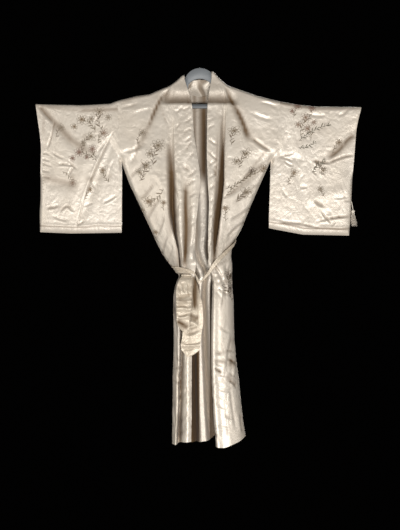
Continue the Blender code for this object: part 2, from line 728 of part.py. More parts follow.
def wall(name, grid, normal, material, thickness=SILK_THICKNESS):
    """A closed wall of the given thickness round a grid of points."""
    rows, columns = grid.shape[:2]
    outer = grid + normal * thickness / 2
    inner = grid - normal * thickness / 2
    points = np.concatenate([outer.reshape(-1, 3), inner.reshape(-1, 3)])
    index = np.arange(rows * columns).reshape(rows, columns)
    behind = index + rows * columns
    faces = []

    def quads(a, b, c, d):
        faces.extend(np.stack([a.ravel(), b.ravel(), c.ravel(), d.ravel()], axis=-1).tolist())

    quads(index[:-1, :-1], index[1:, :-1], index[1:, 1:], index[:-1, 1:])
    quads(behind[:-1, :-1], behind[:-1, 1:], behind[1:, 1:], behind[1:, :-1])
    quads(index[0, :-1], index[0, 1:], behind[0, 1:], behind[0, :-1])
    quads(index[-1, 1:], index[-1, :-1], behind[-1, :-1], behind[-1, 1:])
    quads(index[1:, 0], index[:-1, 0], behind[:-1, 0], behind[1:, 0])
    quads(index[:-1, -1], index[1:, -1], behind[1:, -1], behind[:-1, -1])
    return make_object(name, points, faces, material)


def make_object(name, points, faces, material):
    """A mesh object from points in millimetres, triangulated with its faces outwards."""
    mesh = bpy.data.meshes.new(name)
    mesh.from_pydata((np.asarray(points) * MM).tolist(), [], faces)
    work = bmesh.new()
    work.from_mesh(mesh)
    bmesh.ops.triangulate(work, faces=work.faces[:])
    bmesh.ops.recalc_face_normals(work, faces=work.faces[:])
    if work.calc_volume(signed=True) < 0:
        bmesh.ops.reverse_faces(work, faces=work.faces[:])
    work.to_mesh(mesh)
    work.free()
    mesh.shade_smooth()
    mesh.materials.append(material)
    thing = bpy.data.objects.new(name, mesh)
    bpy.context.collection.objects.link(thing)
    return thing


def make_material(name, colour, roughness, metallic=0.0):
    """A plain Principled material."""
    material = bpy.data.materials.new(name)
    material.use_nodes = True
    shader = material.node_tree.nodes["Principled BSDF"]
    shader.inputs["Base Color"].default_value = (*colour, 1.0)
    shader.inputs["Roughness"].default_value = roughness
    shader.inputs["Metallic"].default_value = metallic
    return material


def silk(name):
    """Ivory silk satin for one piece."""
    return make_material(name + "_silk", SILK_COLOUR, SILK_ROUGHNESS)


def from_the_middle(grid):
    """A rough outward direction: away from the garment's upright middle line."""
    centre = grid.reshape(-1, 3).mean(axis=0)
    return np.broadcast_to(np.array([0.0, 1.0 if centre[1] > MIDDLE_Y else -1.0, 0.0]),
                           grid.shape)


def build_body():
    """Fronts, backs, collar bands and lower front overlaps, cut from three grids."""
    half_gap = SEAM_GAP / 2
    left = front_panel(LEFT_FRONT_FOLDS, -1, LEFT_HEM)
    right = front_panel(RIGHT_FRONT_FOLDS, 1, RIGHT_HEM)
    back = back_panel()
    waist = len(SHOULDER_SHARES) + BODY_HEIGHTS.index(WAIST_Z)
    left_seam = LEFT_SEAM_FOLD * COLUMNS_PER_FOLD
    right_seam = RIGHT_SEAM_FOLD * COLUMNS_PER_FOLD
    middle = BACK_MIDDLE_FOLD * COLUMNS_PER_FOLD
    halves = (("left", -1, left, left_seam), ("right", 1, right, right_seam))
    for label, side_sign, grid, seam in halves:
        normal = upright_ridge(grid, grid_normals(grid, from_the_middle))
        grid, normal = sideways_seam(grid, normal, -1, side_sign, -1)
        grid[0, :, 1] -= half_gap
        outer = inset_edge(grid[:, seam:], 1, False, half_gap)
        wall("front_" + label, outer, normal[:, seam:], silk("front_" + label))
        band = inset_edge(grid[:waist + 1, :seam + 1], 1, True, half_gap)
        band = inset_edge(band, 0, True, half_gap)
        wall("collar_" + label, band, normal[:waist + 1, :seam + 1],
             silk("collar_" + label))
        overlap = inset_edge(grid[waist:, :seam + 1], 1, True, half_gap)
        overlap = inset_edge(overlap, 0, False, half_gap)
        wall("overlap_" + label, overlap, normal[waist:, :seam + 1],
             silk("overlap_" + label))
    on_ridge = ~back_top(back[0, :, 0])[2]
    normal = upright_ridge(back, grid_normals(back, from_the_middle), on_ridge)
    first = BACK_NECK_FOLD * COLUMNS_PER_FOLD
    last = BACK_NECK_END_FOLD * COLUMNS_PER_FOLD
    normal[0, first + 1:last] = neckline_normal(back[0, first:last + 1])[1:-1]
    back, normal = sideways_seam(back, normal, 0, -1, 1)
    back, normal = sideways_seam(back, normal, -1, 1, 1)
    back[0, on_ridge, 1] += half_gap
    for label, cut in (("left", slice(0, middle + 1)), ("right", slice(middle, None))):
        piece = inset_edge(back[:, cut], 1, label == "left", half_gap)
        wall("back_" + label, piece, normal[:, cut], silk("back_" + label))


def build_nape_collar():
    """The collar band behind the neck, from the left collar band to the right one."""
    back = back_panel()
    first = BACK_NECK_FOLD * COLUMNS_PER_FOLD
    last = BACK_NECK_END_FOLD * COLUMNS_PER_FOLD
    seam = back[0, first:last + 1]
    edge = np.array(NAPE_EDGE, dtype=float)
    across = np.linspace(0, 1, NAPE_COLUMNS)[None, :, None]
    grid = edge[:, None] + (seam[:, None] - edge[:, None]) * across
    place = np.linspace(0, 1, len(edge))[:, None]
    grid[..., 1] += NAPE_BELLY * np.sin(np.pi * place) * np.sin(np.pi * across[..., 0])
    normal = grid_normals(grid, from_the_middle)
    normal[:, -1] = neckline_normal(seam)
    for end in (0, -1):
        grid[end, :, 1] = RIDGE_Y + SEAM_GAP / 2
        grid[end, :, 2] = shoulder_height(grid[end, :, 0])
        normal[end] = across_the_line(grid[end], 2, 1)
    grid = inset_edge(grid, 1, True, 2 * SEAM_GAP)
    wall("collar_nape", grid, normal, silk("collar_nape"))


def build_sleeves():
    """Two layers for each sleeve, joined along the fold on top and the lower seam."""
    sides = (
        ("left", -1, LEFT_CUFF, LEFT_INNER_FOOT, LEFT_SLEEVE_FOOT, LEFT_SLEEVE_CREASES),
        ("right", 1, RIGHT_CUFF, RIGHT_INNER_FOOT, RIGHT_SLEEVE_FOOT,
         RIGHT_SLEEVE_CREASES),
    )
    for label, side_sign, cuff, inner, foot, creases in sides:
        outer_x = cuff[0][1]
        inner_x = garment_side(UNDERARM_Z, side_sign)
        top_z = cuff[0][0]
        low_z = foot[0][1]
        hidden = [
            (outer_x + (inner_x - outer_x) * a0, top_z + (low_z - top_z) * d0,
             outer_x + (inner_x - outer_x) * a1, top_z + (low_z - top_z) * d1, w, d)
            for a0, d0, a1, d1, w, d in BACK_SLEEVE_CREASES
        ]
        for layer, side, marks in (("front", -1, creases), ("back", 1, hidden)):
            grid = sleeve_layer(cuff, side_sign, inner, foot, marks, side,
                                SLEEVE_COLUMNS, SLEEVE_ROWS)
            outward = np.array([0.0, float(side), 0.0])
            normal = grid_normals(grid, lambda g, o=outward: np.broadcast_to(o, g.shape))
            normal = upright_ridge(grid, normal)
            grid[0, :, 1] += side * SEAM_GAP / 2
            name = f"sleeve_{label}_{layer}"
            wall(name, grid, normal, silk(name))


def hanger_plane(x, z):
    """Depth of the hanger's middle: the arms are upright and the bar stands forward."""
    share = np.clip(np.abs(x) / HANGER_HALF_WIDTH, 0.0, 1.0)
    arm = -PLATE_THICKNESS / 2 - share**2
    bar = -PLATE_THICKNESS / 2 - BAR_FORWARD + BAR_BOW * share**2
    forward = 1 - ease(BAR_TOP_Z, ARM_FORWARD_Z, z)
    return arm + (bar - arm) * forward


def build_hanger():
    """A flat moulded hanger: a domed crown, sloping arms and a bar in one plate."""
    count = HANGER_STEPS
    x = np.linspace(-HANGER_HALF_WIDTH, HANGER_HALF_WIDTH, count)
    shoulder = np.interp(x, column(SHOULDER_LINE, 0), column(SHOULDER_LINE, 1))
    arms = np.interp(x, column(HANGER_ARMS, 0), column(HANGER_ARMS, 1))
    arms = np.minimum(arms, shoulder - SEAT_DROP)
    from_centre = np.clip(np.abs(x - CROWN_X), 0, CROWN_RADIUS)
    dome = CROWN_TOP_Z - CROWN_RADIUS + np.sqrt(CROWN_RADIUS**2 - from_centre**2)
    top = np.maximum(arms, np.where(from_centre < CROWN_RADIUS, dome, -200))
    inner_x = x * HANGER_OPEN_SHARE
    low_centre = np.clip(np.abs(inner_x - CROWN_X), 0, CROWN_LOWER_RADIUS * 0.9)
    arch = CROWN_LOWER_Z - CROWN_LOWER_RADIUS
    arch = arch + np.sqrt(CROWN_LOWER_RADIUS**2 - low_centre**2)
    arm_foot = np.interp(inner_x, x, arms) - ARM_HEIGHT
    arched = np.abs(inner_x - CROWN_X) < ARCH_HALF_WIDTH
    under = np.where(arched, np.maximum(arch, arm_foot), arm_foot)
    under = np.maximum(under, BAR_TOP_Z + HANGER_OPEN_LEAST)
    outer_top = np.stack([x, top], axis=-1)
    outer_low = np.stack([x[::-1], np.full(count, BAR_TOP_Z - BAR_HEIGHT)], axis=-1)
    inner_top = np.stack([inner_x, under], axis=-1)
    inner_low = np.stack([inner_x[::-1], np.full(count, BAR_TOP_Z)], axis=-1)
    outer = np.concatenate([outer_top, outer_low])
    inner = np.concatenate([inner_top, inner_low])
    total = 2 * count
    chamfer = np.where(np.arange(total) < count, HANGER_CHAMFER, 0.0)
    rim = np.stack([outer[:, 0], outer[:, 1]], axis=-1)
    face_edge = np.stack([outer[:, 0], outer[:, 1] - chamfer], axis=-1)
    loops = []
    # Outlines in turn round the section: outline, place through the thickness
    for outline, place in ((inner, -0.5), (face_edge, -0.5), (rim, 0.0), (face_edge, 0.5),
                           (inner, 0.5)):
        y = hanger_plane(outline[:, 0], outline[:, 1]) + place * PLATE_THICKNESS
        flat = (np.abs(outline[:, 0]) < CROWN_FLAT_X) & (outline[:, 1] > CROWN_FLAT_Z)
        y = np.where(flat & (place > 0), 0.0, y)
        loops.append(np.stack([outline[:, 0], y, outline[:, 1]], axis=-1))
    points = np.concatenate(loops)
    faces = []
    for ring in range(len(loops)):
        here = ring * total
        there = (ring + 1) % len(loops) * total
        for k in range(total):
            n = (k + 1) % total
            faces.append([here + k, here + n, there + n, there + k])
    material = make_material("hanger_plastic", HANGER_COLOUR, HANGER_ROUGHNESS)
    make_object("hanger", points, faces, material)


def on_the_garment(across, z, side, stand):
    """Points on the envelope at a place across it, pushed out square to the oval."""
    heights = column(ENVELOPE, 0)
    left = garment_side(z, -1)
    right = garment_side(z, 1)
    front = smooth_curve(heights, column(ENVELOPE, 3), z)
    behind = smooth_curve(heights, column(ENVELOPE, 4), z)
    half = (right - left) / 2
    depth = np.where(side < 0, front, behind)
    power = SECTION_POWER
    rise = (1 - np.clip(np.abs(across), 0, 1) ** power) ** (1 / power)
    out_x = np.sign(across) * np.abs(across) ** (power - 1) / half
    out_y = side * rise ** (power - 1) / depth
    length = np.hypot(out_x, out_y)
    x = (left + right) / 2 + across * half + out_x / length * stand
    y = MIDDLE_Y + side * depth * rise + out_y / length * stand
    return np.stack([x, y, z + 0 * x], axis=-1)


def sash_course(per_span):
    """Turn angle, height, band height and stand-off along the sash's closed course.

    The angle runs once round the garment, and its cosine is the place across.
    """
    across = column(SASH_COURSE, 1)
    side = column(SASH_COURSE, 3)
    angle = np.arccos(np.clip(across, -1, 1)) * -side
    angle = np.where(angle < 0, angle + 2 * np.pi, angle)
    angle[0] = np.pi
    knots = np.stack([angle, column(SASH_COURSE, 2), column(SASH_COURSE, 4),
                      column(SASH_COURSE, 5)], axis=-1)
    order = np.argsort(knots[:, 0])
    knots = knots[order]
    turn = np.array([2 * np.pi, 0, 0, 0])
    closed = np.concatenate([knots[-2:] - turn, knots, knots[:3] + turn])
    line = rounded_line(closed, per_span)
    return line[2 * per_span:-2 * per_span - 1]


def build_sash_band():
    """The gathered band round the waist: a pleated strip carried along the course."""
    angle, z, height, stand = sash_course(SASH_STEPS).T
    across = np.cos(angle)
    side = np.where(np.sin(angle) >= 0, -1.0, 1.0)
    steps = []
    for share, pleat in SASH_PLEATS:
        gathered = (height - FLAT_HEIGHT) / (PLEATED_HEIGHT - FLAT_HEIGHT)
        out = stand + SASH_THICKNESS / 2 + pleat * np.maximum(gathered, 0)
        steps.append(on_the_garment(across, z + share * height, side, out))
    grid = np.array(steps).transpose(1, 0, 2)
    ring = np.concatenate([grid[-1:], grid, grid[:1]])
    middle = ring.mean(axis=(0, 1))

    def outwards(g):
        away = g - middle
        away[..., 2] = 0
        return away

    normal = grid_normals(ring, outwards)[1:-1]
    material = make_material("sash_band_silk", SASH_COLOUR, SILK_ROUGHNESS)
    closed_wall("sash_band", grid, normal, material, SASH_THICKNESS)


def closed_wall(name, grid, normal, material, thickness):
    """A wall whose rows run in a ring: the last row joins the first."""
    rows, columns = grid.shape[:2]
    outer = grid + normal * thickness / 2
    inner = grid - normal * thickness / 2
    points = np.concatenate([outer.reshape(-1, 3), inner.reshape(-1, 3)])
    index = np.arange(rows * columns).reshape(rows, columns)
    follow = np.roll(index, -1, axis=0)
    shift = rows * columns
    faces = []

    def quads(a, b, c, d):
        faces.extend(np.stack([a.ravel(), b.ravel(), c.ravel(), d.ravel()], axis=-1).tolist())

    quads(index[:, :-1], follow[:, :-1], follow[:, 1:], index[:, 1:])
    quads(index[:, :-1] + shift, index[:, 1:] + shift, follow[:, 1:] + shift,
          follow[:, :-1] + shift)
    quads(index[:, 0], index[:, 0] + shift, follow[:, 0] + shift, follow[:, 0])
    quads(index[:, -1], follow[:, -1], follow[:, -1] + shift, index[:, -1] + shift)
    return make_object(name, points, faces, material)


def build_sash_ends():
    """The two hanging ends, each a narrow cloth with its edges and stand-off by height."""
    for name, table in (("sash_end_short", SHORT_END), ("sash_end_long", LONG_END)):
        z = column(table, 0)
        left = column(table, 1)
        right = column(table, 2)
        stand = column(table, 3)
        share = np.linspace(0, 1, END_COLUMNS)[None, :]
        x = left[:, None] + (right - left)[:, None] * share
        level = z[:, None] + 0 * x
        skirt = envelope(np.clip(x, END_LEFT_X, END_RIGHT_X), level, -1)
        skirt = np.minimum(skirt, envelope(END_REST_X + 0 * x, level, -1))
        y = skirt - stand[:, None] - END_BELLY * np.sin(np.pi * share)
        grid = np.stack([x, y, level], axis=-1)
        normal = grid_normals(grid, from_the_middle)
        wall(name, grid, normal, make_material(name + "_silk", SASH_COLOUR,
                                               SILK_ROUGHNESS))


def build_knot():
    """The small flat knot under the band, from which the two ends hang."""
    around = np.linspace(0, 2 * math.pi, KNOT_TURNS + 1)[:-1]
    along = np.linspace(-1, 1, KNOT_RINGS)
    centre = np.array(KNOT_CENTRE)
    centre[1] = envelope(centre[0], centre[2], -1) - KNOT_STAND
    half_x, half_y, half_z = KNOT_HALF
    points = []
    for t in along[1:-1]:
        size = math.sqrt(1 - abs(t) ** 3)
        for angle in around:
            points.append((centre[0] + half_x * t,
                           centre[1] + half_y * size * math.sin(angle),
                           centre[2] + half_z * size * math.cos(angle)))
    first = len(points)
    points.append((centre[0] - half_x, centre[1], centre[2]))
    points.append((centre[0] + half_x, centre[1], centre[2]))
    turns = len(around)
    faces = []
    for ring in range(len(along) - 3):
        for k in range(turns):
            n = (k + 1) % turns
            faces.append([ring * turns + k, ring * turns + n,
                          (ring + 1) * turns + n, (ring + 1) * turns + k])
    last = (len(along) - 3) * turns
    for k in range(turns):
        n = (k + 1) % turns
        faces.append([first, n, k])
        faces.append([first + 1, last + k, last + n])
    make_object("sash_knot", points, faces,
                make_material("sash_knot_silk", SASH_COLOUR, SILK_ROUGHNESS))


def build_tassel():
    """A stem and a bell-shaped head whose underside carries the strands."""
    top = np.array(TASSEL_TOP)
    profile = [(TASSEL_STEM_RADIUS, -TASSEL_STEM)]
    for share, drop in TASSEL_PROFILE:
        profile.append((TASSEL_HEAD_RADIUS * share, -TASSEL_STEM - drop))
    turns = TASSEL_STRANDS
    work = bmesh.new()

    def ring(radius, height):
        return [
            work.verts.new(((top[0] + radius * math.cos(2 * math.pi * k / turns)) * MM,
                            (top[1] + radius * math.sin(2 * math.pi * k / turns)) * MM,
                            height * MM))
            for k in range(turns)
        ]

    rings = [ring(TASSEL_STEM_RADIUS, top[2])]
    top[0] += TASSEL_SLANT
    for radius, drop in profile:
        rings.append(ring(radius, top[2] + drop))
    low = top[2] + profile[-1][1]
    for share in reversed(TASSEL_RINGS):
        rings.append(ring(profile[-1][0] * share, low))
    roots = []
    for upper, lower in zip(rings, rings[1:]):
        for k in range(turns):
            n = (k + 1) % turns
            face = work.faces.new([upper[k], lower[k], lower[n], upper[n]])
            if upper is rings[len(profile)] or upper is rings[len(profile) + 1]:
                roots.append(face)
    work.faces.new(rings[0])
    work.faces.new(rings[-1][::-1])
    bmesh.ops.recalc_face_normals(work, faces=work.faces[:])
    bmesh.ops.inset_individual(work, faces=roots, thickness=TASSEL_ROOT_INSET * MM)
    centre = np.array([top[0], top[1]]) * MM
    for level in range(TASSEL_LEVELS):
        made = bmesh.ops.extrude_discrete_faces(work, faces=roots)
        roots = made["faces"]
        for number, face in enumerate(roots):
            middle = face.calc_center_median()
            away = np.array([middle.x, middle.y]) - centre
            spread = 1 + (TASSEL_SPREAD - 1) / TASSEL_LEVELS
            uneven = 1 + TASSEL_UNEVEN * math.sin(2.4 * number + level)
            for corner in face.verts:
                corner.co.x += away[0] * (spread - 1)
                corner.co.y += away[1] * (spread - 1)
                corner.co.z -= TASSEL_LENGTH / TASSEL_LEVELS * uneven * MM
    bmesh.ops.triangulate(work, faces=work.faces[:])
    bmesh.ops.recalc_face_normals(work, faces=work.faces[:])
    if work.calc_volume(signed=True) < 0:
        bmesh.ops.reverse_faces(work, faces=work.faces[:])
    mesh = bpy.data.meshes.new("tassel")
    work.to_mesh(mesh)
    work.free()
    mesh.materials.append(make_material("tassel_silk", TASSEL_COLOUR, SILK_ROUGHNESS))
    bpy.context.collection.objects.link(bpy.data.objects.new("tassel", mesh))


def main():
    """Clear the scene and build every piece."""
    for thing in list(bpy.data.objects):
        bpy.data.objects.remove(thing, do_unlink=True)
    build_hanger()
    build_body()
    build_nape_collar()
    build_sleeves()
    build_sash_band()
    build_sash_ends()
    build_knot()
    build_tassel()


main()
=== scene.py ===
"""Silk kimono on a flat hanger: satin cloth, folds, embroidery, sash, tassel and studio.

Sizes are in millimetres in the frame of the model, +X to the viewer's right, +Y to the
back, +Z up, and become metres when a mesh is made.
"""
import math

import bpy
import numpy as np
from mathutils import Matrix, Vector


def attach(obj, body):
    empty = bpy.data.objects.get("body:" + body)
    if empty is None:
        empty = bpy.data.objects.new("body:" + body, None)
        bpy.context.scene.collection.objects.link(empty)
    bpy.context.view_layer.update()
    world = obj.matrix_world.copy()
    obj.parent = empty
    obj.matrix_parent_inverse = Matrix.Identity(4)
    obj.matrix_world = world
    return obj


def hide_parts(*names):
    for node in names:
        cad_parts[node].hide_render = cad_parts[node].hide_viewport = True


bl_info = {
    "name": "Silk Kimono",
    "version": (1, 0, 0),
    "blender": (4, 5, 0),
    "location": "3D View > Sidebar > Kimono",
    "description": "Builds a hanging silk kimono with folds, embroidery, sash and tassel",
    "category": "Add Mesh",
}

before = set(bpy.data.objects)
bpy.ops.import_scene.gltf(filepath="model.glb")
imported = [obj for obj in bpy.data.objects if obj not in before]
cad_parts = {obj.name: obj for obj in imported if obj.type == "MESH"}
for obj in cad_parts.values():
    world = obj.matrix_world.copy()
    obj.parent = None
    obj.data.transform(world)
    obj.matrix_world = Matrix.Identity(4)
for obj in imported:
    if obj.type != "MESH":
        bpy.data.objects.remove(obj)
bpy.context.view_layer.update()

MM = 0.001
# The garment's middle plane, the power of its oval section, the share of the oval's half
# width that lies inside the armholes, and the heights of the underarm, bar and waist
MIDDLE_Y = -6.0
SECTION_POWER = 2.2
ARMHOLE_SHARE = 0.9
UNDERARM_Z = -331.0
BAR_TOP_Z = -118.0
WAIST_Z = -752.0
# The shoulders' ridge: its depth, the drop over which it is round, and the drop over which
# the rows still follow its line
RIDGE_Y = -5.0
RIDGE_ROUND = 12.0
SHOULDER_REACH = 70.0
# Rows and columns: nominal heights of the hem and the shoulders, step between rows, width
# of a cell across a fold
HEM_Z = -1400.0
SHOULDER_NOMINAL = [-60, -65, -80, -100]
ROW_STEP = 5.0
FOLD_CELL = 4.0
# Height at which each side of the body meets the shoulder line
SIDE_TOP = {-1: -103.0, 1: -105.0}

# The hanger: crown above and below, plate, bar, arms, how far the bar stands forward and is
# bowed, the height at which the arms are upright again, its rounded edges, and how far its
# outline stays under the shoulder line
CROWN_RADIUS = 60.0
CROWN_TOP_Z = 22.0
CROWN_X = -4.0
CROWN_LOWER_Z = -20.0
CROWN_LOWER_RADIUS = 55.0
PLATE_THICKNESS = 9.0
BAR_HEIGHT = 17.0
HANGER_HALF_WIDTH = 192.0
ARM_HEIGHT = 33.0
BAR_FORWARD = 22.0
BAR_BOW = 4.5
ARM_FORWARD_Z = -70.0
HANGER_CHAMFER = 2.5
SEAT_DROP = 1.6

# The garment's sides and how far it stands out before and behind its middle plane
# columns: height, left side x, right side x, front depth, back depth
ENVELOPE = [
    (-20, -330, 312, 14, 12), (-118, -316.5, 298, 30, 16), (-213, -309.7, 290.7, 37, 22),
    (-308, -302.5, 273.6, 44, 28), (-331, -300, 264, 45.5, 30), (-403, -277, 231.8, 50, 34),
    (-498, -233.7, 190, 54, 42), (-593, -190, 151.2, 56, 47), (-669, -153.9, 116, 56, 49),
    (-700, -135, 115, 55, 49), (-722, -119, 119, 54, 49), (-745, -95, 118.6, 52, 49),
    (-768, -84.4, 117.8, 53, 50), (-798, -95, 118, 57, 54), (-859, -104.5, 122.7, 63, 59),
    (-1011, -103.4, 126.2, 68, 64), (-1163, -107, 143.3, 71, 67), (-1277, -108.3, 155, 73, 69),
    (-1400, -109.4, 173, 75, 71),
]

# The shoulder line from cuff to cuff
# columns: x, height
SHOULDER_LINE = [
    (-627, -116), (-452, -120), (-346, -114), (-317, -103), (-241, -84), (-194, -78), (-156, -61),
    (-118, -46), (-90, -25), (-70, -6), (46, 9.5), (66, -14), (101, -46), (139, -58), (215, -85),
    (298, -105), (357, -116), (433, -125), (608, -127),
]

# Heights of the rows of a body panel, from the shoulder line (a share of the way to the
# bar) and then true heights to the hem
SHOULDER_SHARES = [0, 0.06, 0.3, 0.65]
BODY_HEIGHTS = [
    BAR_TOP_Z, -160, -215, -275, UNDERARM_Z, -385, -445, -505, -565, -622, -668, -704,
    -730, WAIST_Z, -776, -806, -850, -920, -1010, -1110, -1210, -1310,
]

# Heights at which the fold tables give a fold's place across the garment
UPPER_STATIONS = [-20, BAR_TOP_Z, -213, -308, -403, -498, -593, -669, -722, WAIST_Z]
LOWER_STATIONS = [-798, -859, -1011, -1163, -1277, -1400]

# Folds of the left front, from its free edge to its side
# columns: name, x at the upper stations, relief there, x at the lower stations, relief there
LEFT_FRONT_FOLDS = [
    ("free edge", (-63, -35, -28, -15, -3, -11, -20, -24.5, -19.5, -22),
     (0, 2, 4, 6, 8, 6, 5, 4, 4, 8),
     (-30, -34, -34, -35, -35, -37), (10, 12, 12, 12, 12, 12)),
    ("collar crest", (-68, -49, -44, -34, -26, -30, -32, -40, -40, -38),
     (0, 0, 0, 0, 0, 0, 0, 0, 0, 3),
     (-48, -50, -50, -51, -51, -52), (0, 0, 0, 0, 0, 0)),
    ("collar valley", (-76, -66, -66, -62, -58, -56, -52, -58, -63, -60),
     (0, 1, 1, 3, 8, 14, 18, 16, 10, 6),
     (-58, -58, -57, -58, -59, -61), (1, 1, 1, 1, 1, 1)),
    ("collar ridge", (-82, -84, -84, -84, -81, -79, -77, -71, -69.5, -68),
     (0, 0, 0, 0, 0, 0, 0, 0, 0, 3),
     (-67, -65, -62, -64, -68, -70), (3, 3, 3, 4, 6, 8)),
    ("collar seam", (-90, -99, -99, -100, -96, -93, -88, -80, -75, -74),
     (0, 0, 1, 3, 5, 8, 9, 8, 6, 6),
     (-73, -72, -68, -72, -75, -78), (34, 38, 40, 44, 46, 48)),
    ("deep valley", (-101, -114, -112, -109, -106, -107, -103, -90, -82.5, -79),
     (0, 2, 6, 13, 22, 34, 42, 36, 26, 18),
     (-76, -76, -73, -77, -81, -86), (44, 52, 56, 58, 60, 62)),
    ("overhanging edge", (-118, -129, -131, -134, -130, -127, -109, -89, -84, -80.5),
     (0, 0, 0, 0, 0, 0, 0, 0, 0, 2),
     (-80, -82, -81, -84, -87, -92), (6, 7, 6, 7, 9, 12)),
]

# Folds of the right front, from its free edge to its side
RIGHT_FRONT_FOLDS = [
    ("free edge", (40, 25, 23, 22, 25, 30, 27, 26, 25, 30),
     (0, 2, 4, 5, 6, 5, 5, 4, 4, 10),
     (42, 41, 38, 40, 46, 56), (12, 12, 12, 12, 14, 16)),
    ("collar crest", (46, 38, 37, 36, 38, 40, 36, 34, 35, 40),
     (0, 0, 0, 0, 0, 0, 0, 0, 0, 2),
     (50, 50, 46, 47, 53, 62), (0, 0, 0, 0, 0, 0)),
    ("collar middle", (53, 58, 56, 54, 54, 48, 42, 39, 41, 48),
     (0, 1, 2, 2, 2, 3, 4, 4, 3, 2),
     (62, 64, 64, 68, 76, 86), (2, 2, 2, 3, 3, 4)),
    ("collar seam", (66, 79, 73, 67, 62, 54, 46, 43.5, 45, 56),
     (0, 0, 1, 1, 5, 10, 12, 10, 6, 3),
     (75, 80, 84, 90, 98, 110), (0, 0, 0, 0, 0, 0)),
    ("deep valley", (78, 89, 86, 85, 86, 78, 65, 52, 50, 66),
     (0, 3, 10, 24, 36, 40, 34, 22, 12, 6),
     (88, 94, 100, 110, 120, 134), (4, 3, 2, 2, 3, 4)),
    ("overhanging edge", (92, 99, 95, 91, 89, 80, 69, 59, 57, 76),
     (0, 0, 0, 0, 0, 0, 0, 0, 0, 2),
     (98, 105, 112, 125, 136, 152), (0, 0, 0, 0, 0, 0)),
]

# Soft folds of the outer part of each front, between the overhanging edge and the side
# columns: name, share of that width at the shoulders, the waist and the hem, then relief
# at the chest, the waist and the hem
OUTER_FOLDS = [
    ("outer swell", 0.35, 0.34, 0.3, 3, 1, 1),
    ("outer hollow", 0.7, 0.68, 0.66, 6, 4, 3),
]

# Folds of the back from the left side to the right side
# columns: name, share of the width at the shoulders, at the waist and at the hem, then
# relief at the chest, the waist and the hem
BACK_FOLDS = [
    ("left flank", 0.09, 0.05, 0.06, 0, 2, 4),
    ("left flank valley", 0.18, 0.12, 0.13, 2, 26, 40),
    ("left shoulder ridge", 0.27, 0.195, 0.195, 0, 1, 3),
    ("left gather", 0.34, 0.265, 0.26, 3, 30, 44),
    ("left neck corner", 0.3694, 0.33, 0.325, 0, 1, 2),
    ("left neck turn", 0.3784, 0.35, 0.345, 0, 5, 10),
    ("left inner fold", 0.44, 0.43, 0.43, 2, 28, 52),
    ("centre seam", 0.5, 0.51, 0.515, 0, 5, 8),
    ("right inner fold", 0.56, 0.59, 0.585, 2, 30, 40),
    ("right neck turn", 0.6144, 0.64, 0.635, 0, 5, 10),
    ("right neck corner", 0.6217, 0.655, 0.65, 0, 1, 2),
    ("right gather", 0.68, 0.715, 0.715, 3, 30, 50),
    ("right shoulder ridge", 0.76, 0.78, 0.775, 0, 1, 2),
    ("right flank valley", 0.84, 0.87, 0.86, 2, 26, 38),
    ("right flank", 0.92, 0.95, 0.945, 0, 2, 4),
]

# Folds, counted from the left side, where the neckline starts, where the centre seam
# runs and where the neckline ends
# Folds at which the neckline starts, the middle seam lies and the neckline ends
BACK_NECK_FOLD = 5
BACK_MIDDLE_FOLD = 8
BACK_NECK_END_FOLD = 11

# Neckline of the back, where the collar is sewn to it
# columns: x, depth, height
NECKLINE = [
    (-90, -5, -25), (-84, 4, -30), (-64, 9, -60), (-30, 11, -80), (0, 12, -85), (28, 11, -78),
    (48, 9, -54), (61, 4, -21), (66, -5, -14),
]
# Upper edge of the collar round the nape, behind the crown
NAPE_EDGE = [
    (-63, -5, -5), (-65, 0, -6), (-66, 4, -8), (-60, 8, -16), (-46, 8, -25), (-28, 8, -30),
    (-9, 8, -31), (9, 8, -31), (24, 8, -26), (36, 8, -14), (43, 4, 4), (42, 0, 7), (40, -5, 8.7),
]

# How far that collar bellies back between its edges
NAPE_BELLY = 4.0

# Hem heights across the garment
# columns: x, height
LEFT_HEM = [(-110, -1402), (-96, -1404), (-84, -1402), (-72, -1392), (-35, -1389)]
RIGHT_HEM = [(54, -1406), (80, -1412), (106, -1404), (148, -1388), (173, -1372)]
BACK_HEM = [(-110, -1398), (-10, -1402), (40, -1392), (52, -1372), (70, -1392), (173, -1374)]

# Sleeve outlines
# columns: height, outer edge x
LEFT_CUFF = [(-116, -627), (-178, -618), (-240, -609.5), (-290, -606), (-380, -608),
             (-467, -608), (-536, -611), (-605, -609.5)]
RIGHT_CUFF = [(-127, 608), (-213, 589), (-327, 579.5), (-403, 573), (-524, 568),
              (-614, 561)]
# columns: share from the outer edge to the body, height of the lower edge
LEFT_SLEEVE_FOOT = [(0, -601), (0.38, -606), (1, -603)]
RIGHT_SLEEVE_FOOT = [(0, -614), (0.58, -610), (1, -586)]
# x of the sleeve's free inner edge at its lower end
LEFT_INNER_FOOT = -301.0
RIGHT_INNER_FOOT = 257.5
# The sleeves' middle plane, how far a layer stands off it, the foot of the cuffs' opening,
# and the rounds at the fold on top and at the seams
SLEEVE_MIDDLE_Y = -8.0
SLEEVE_HALF_DEPTH = 13.0
CUFF_OPENING_FOOT = -395.0
FOLD_ROUND = 16.0
SEAM_ROUND = 34.0

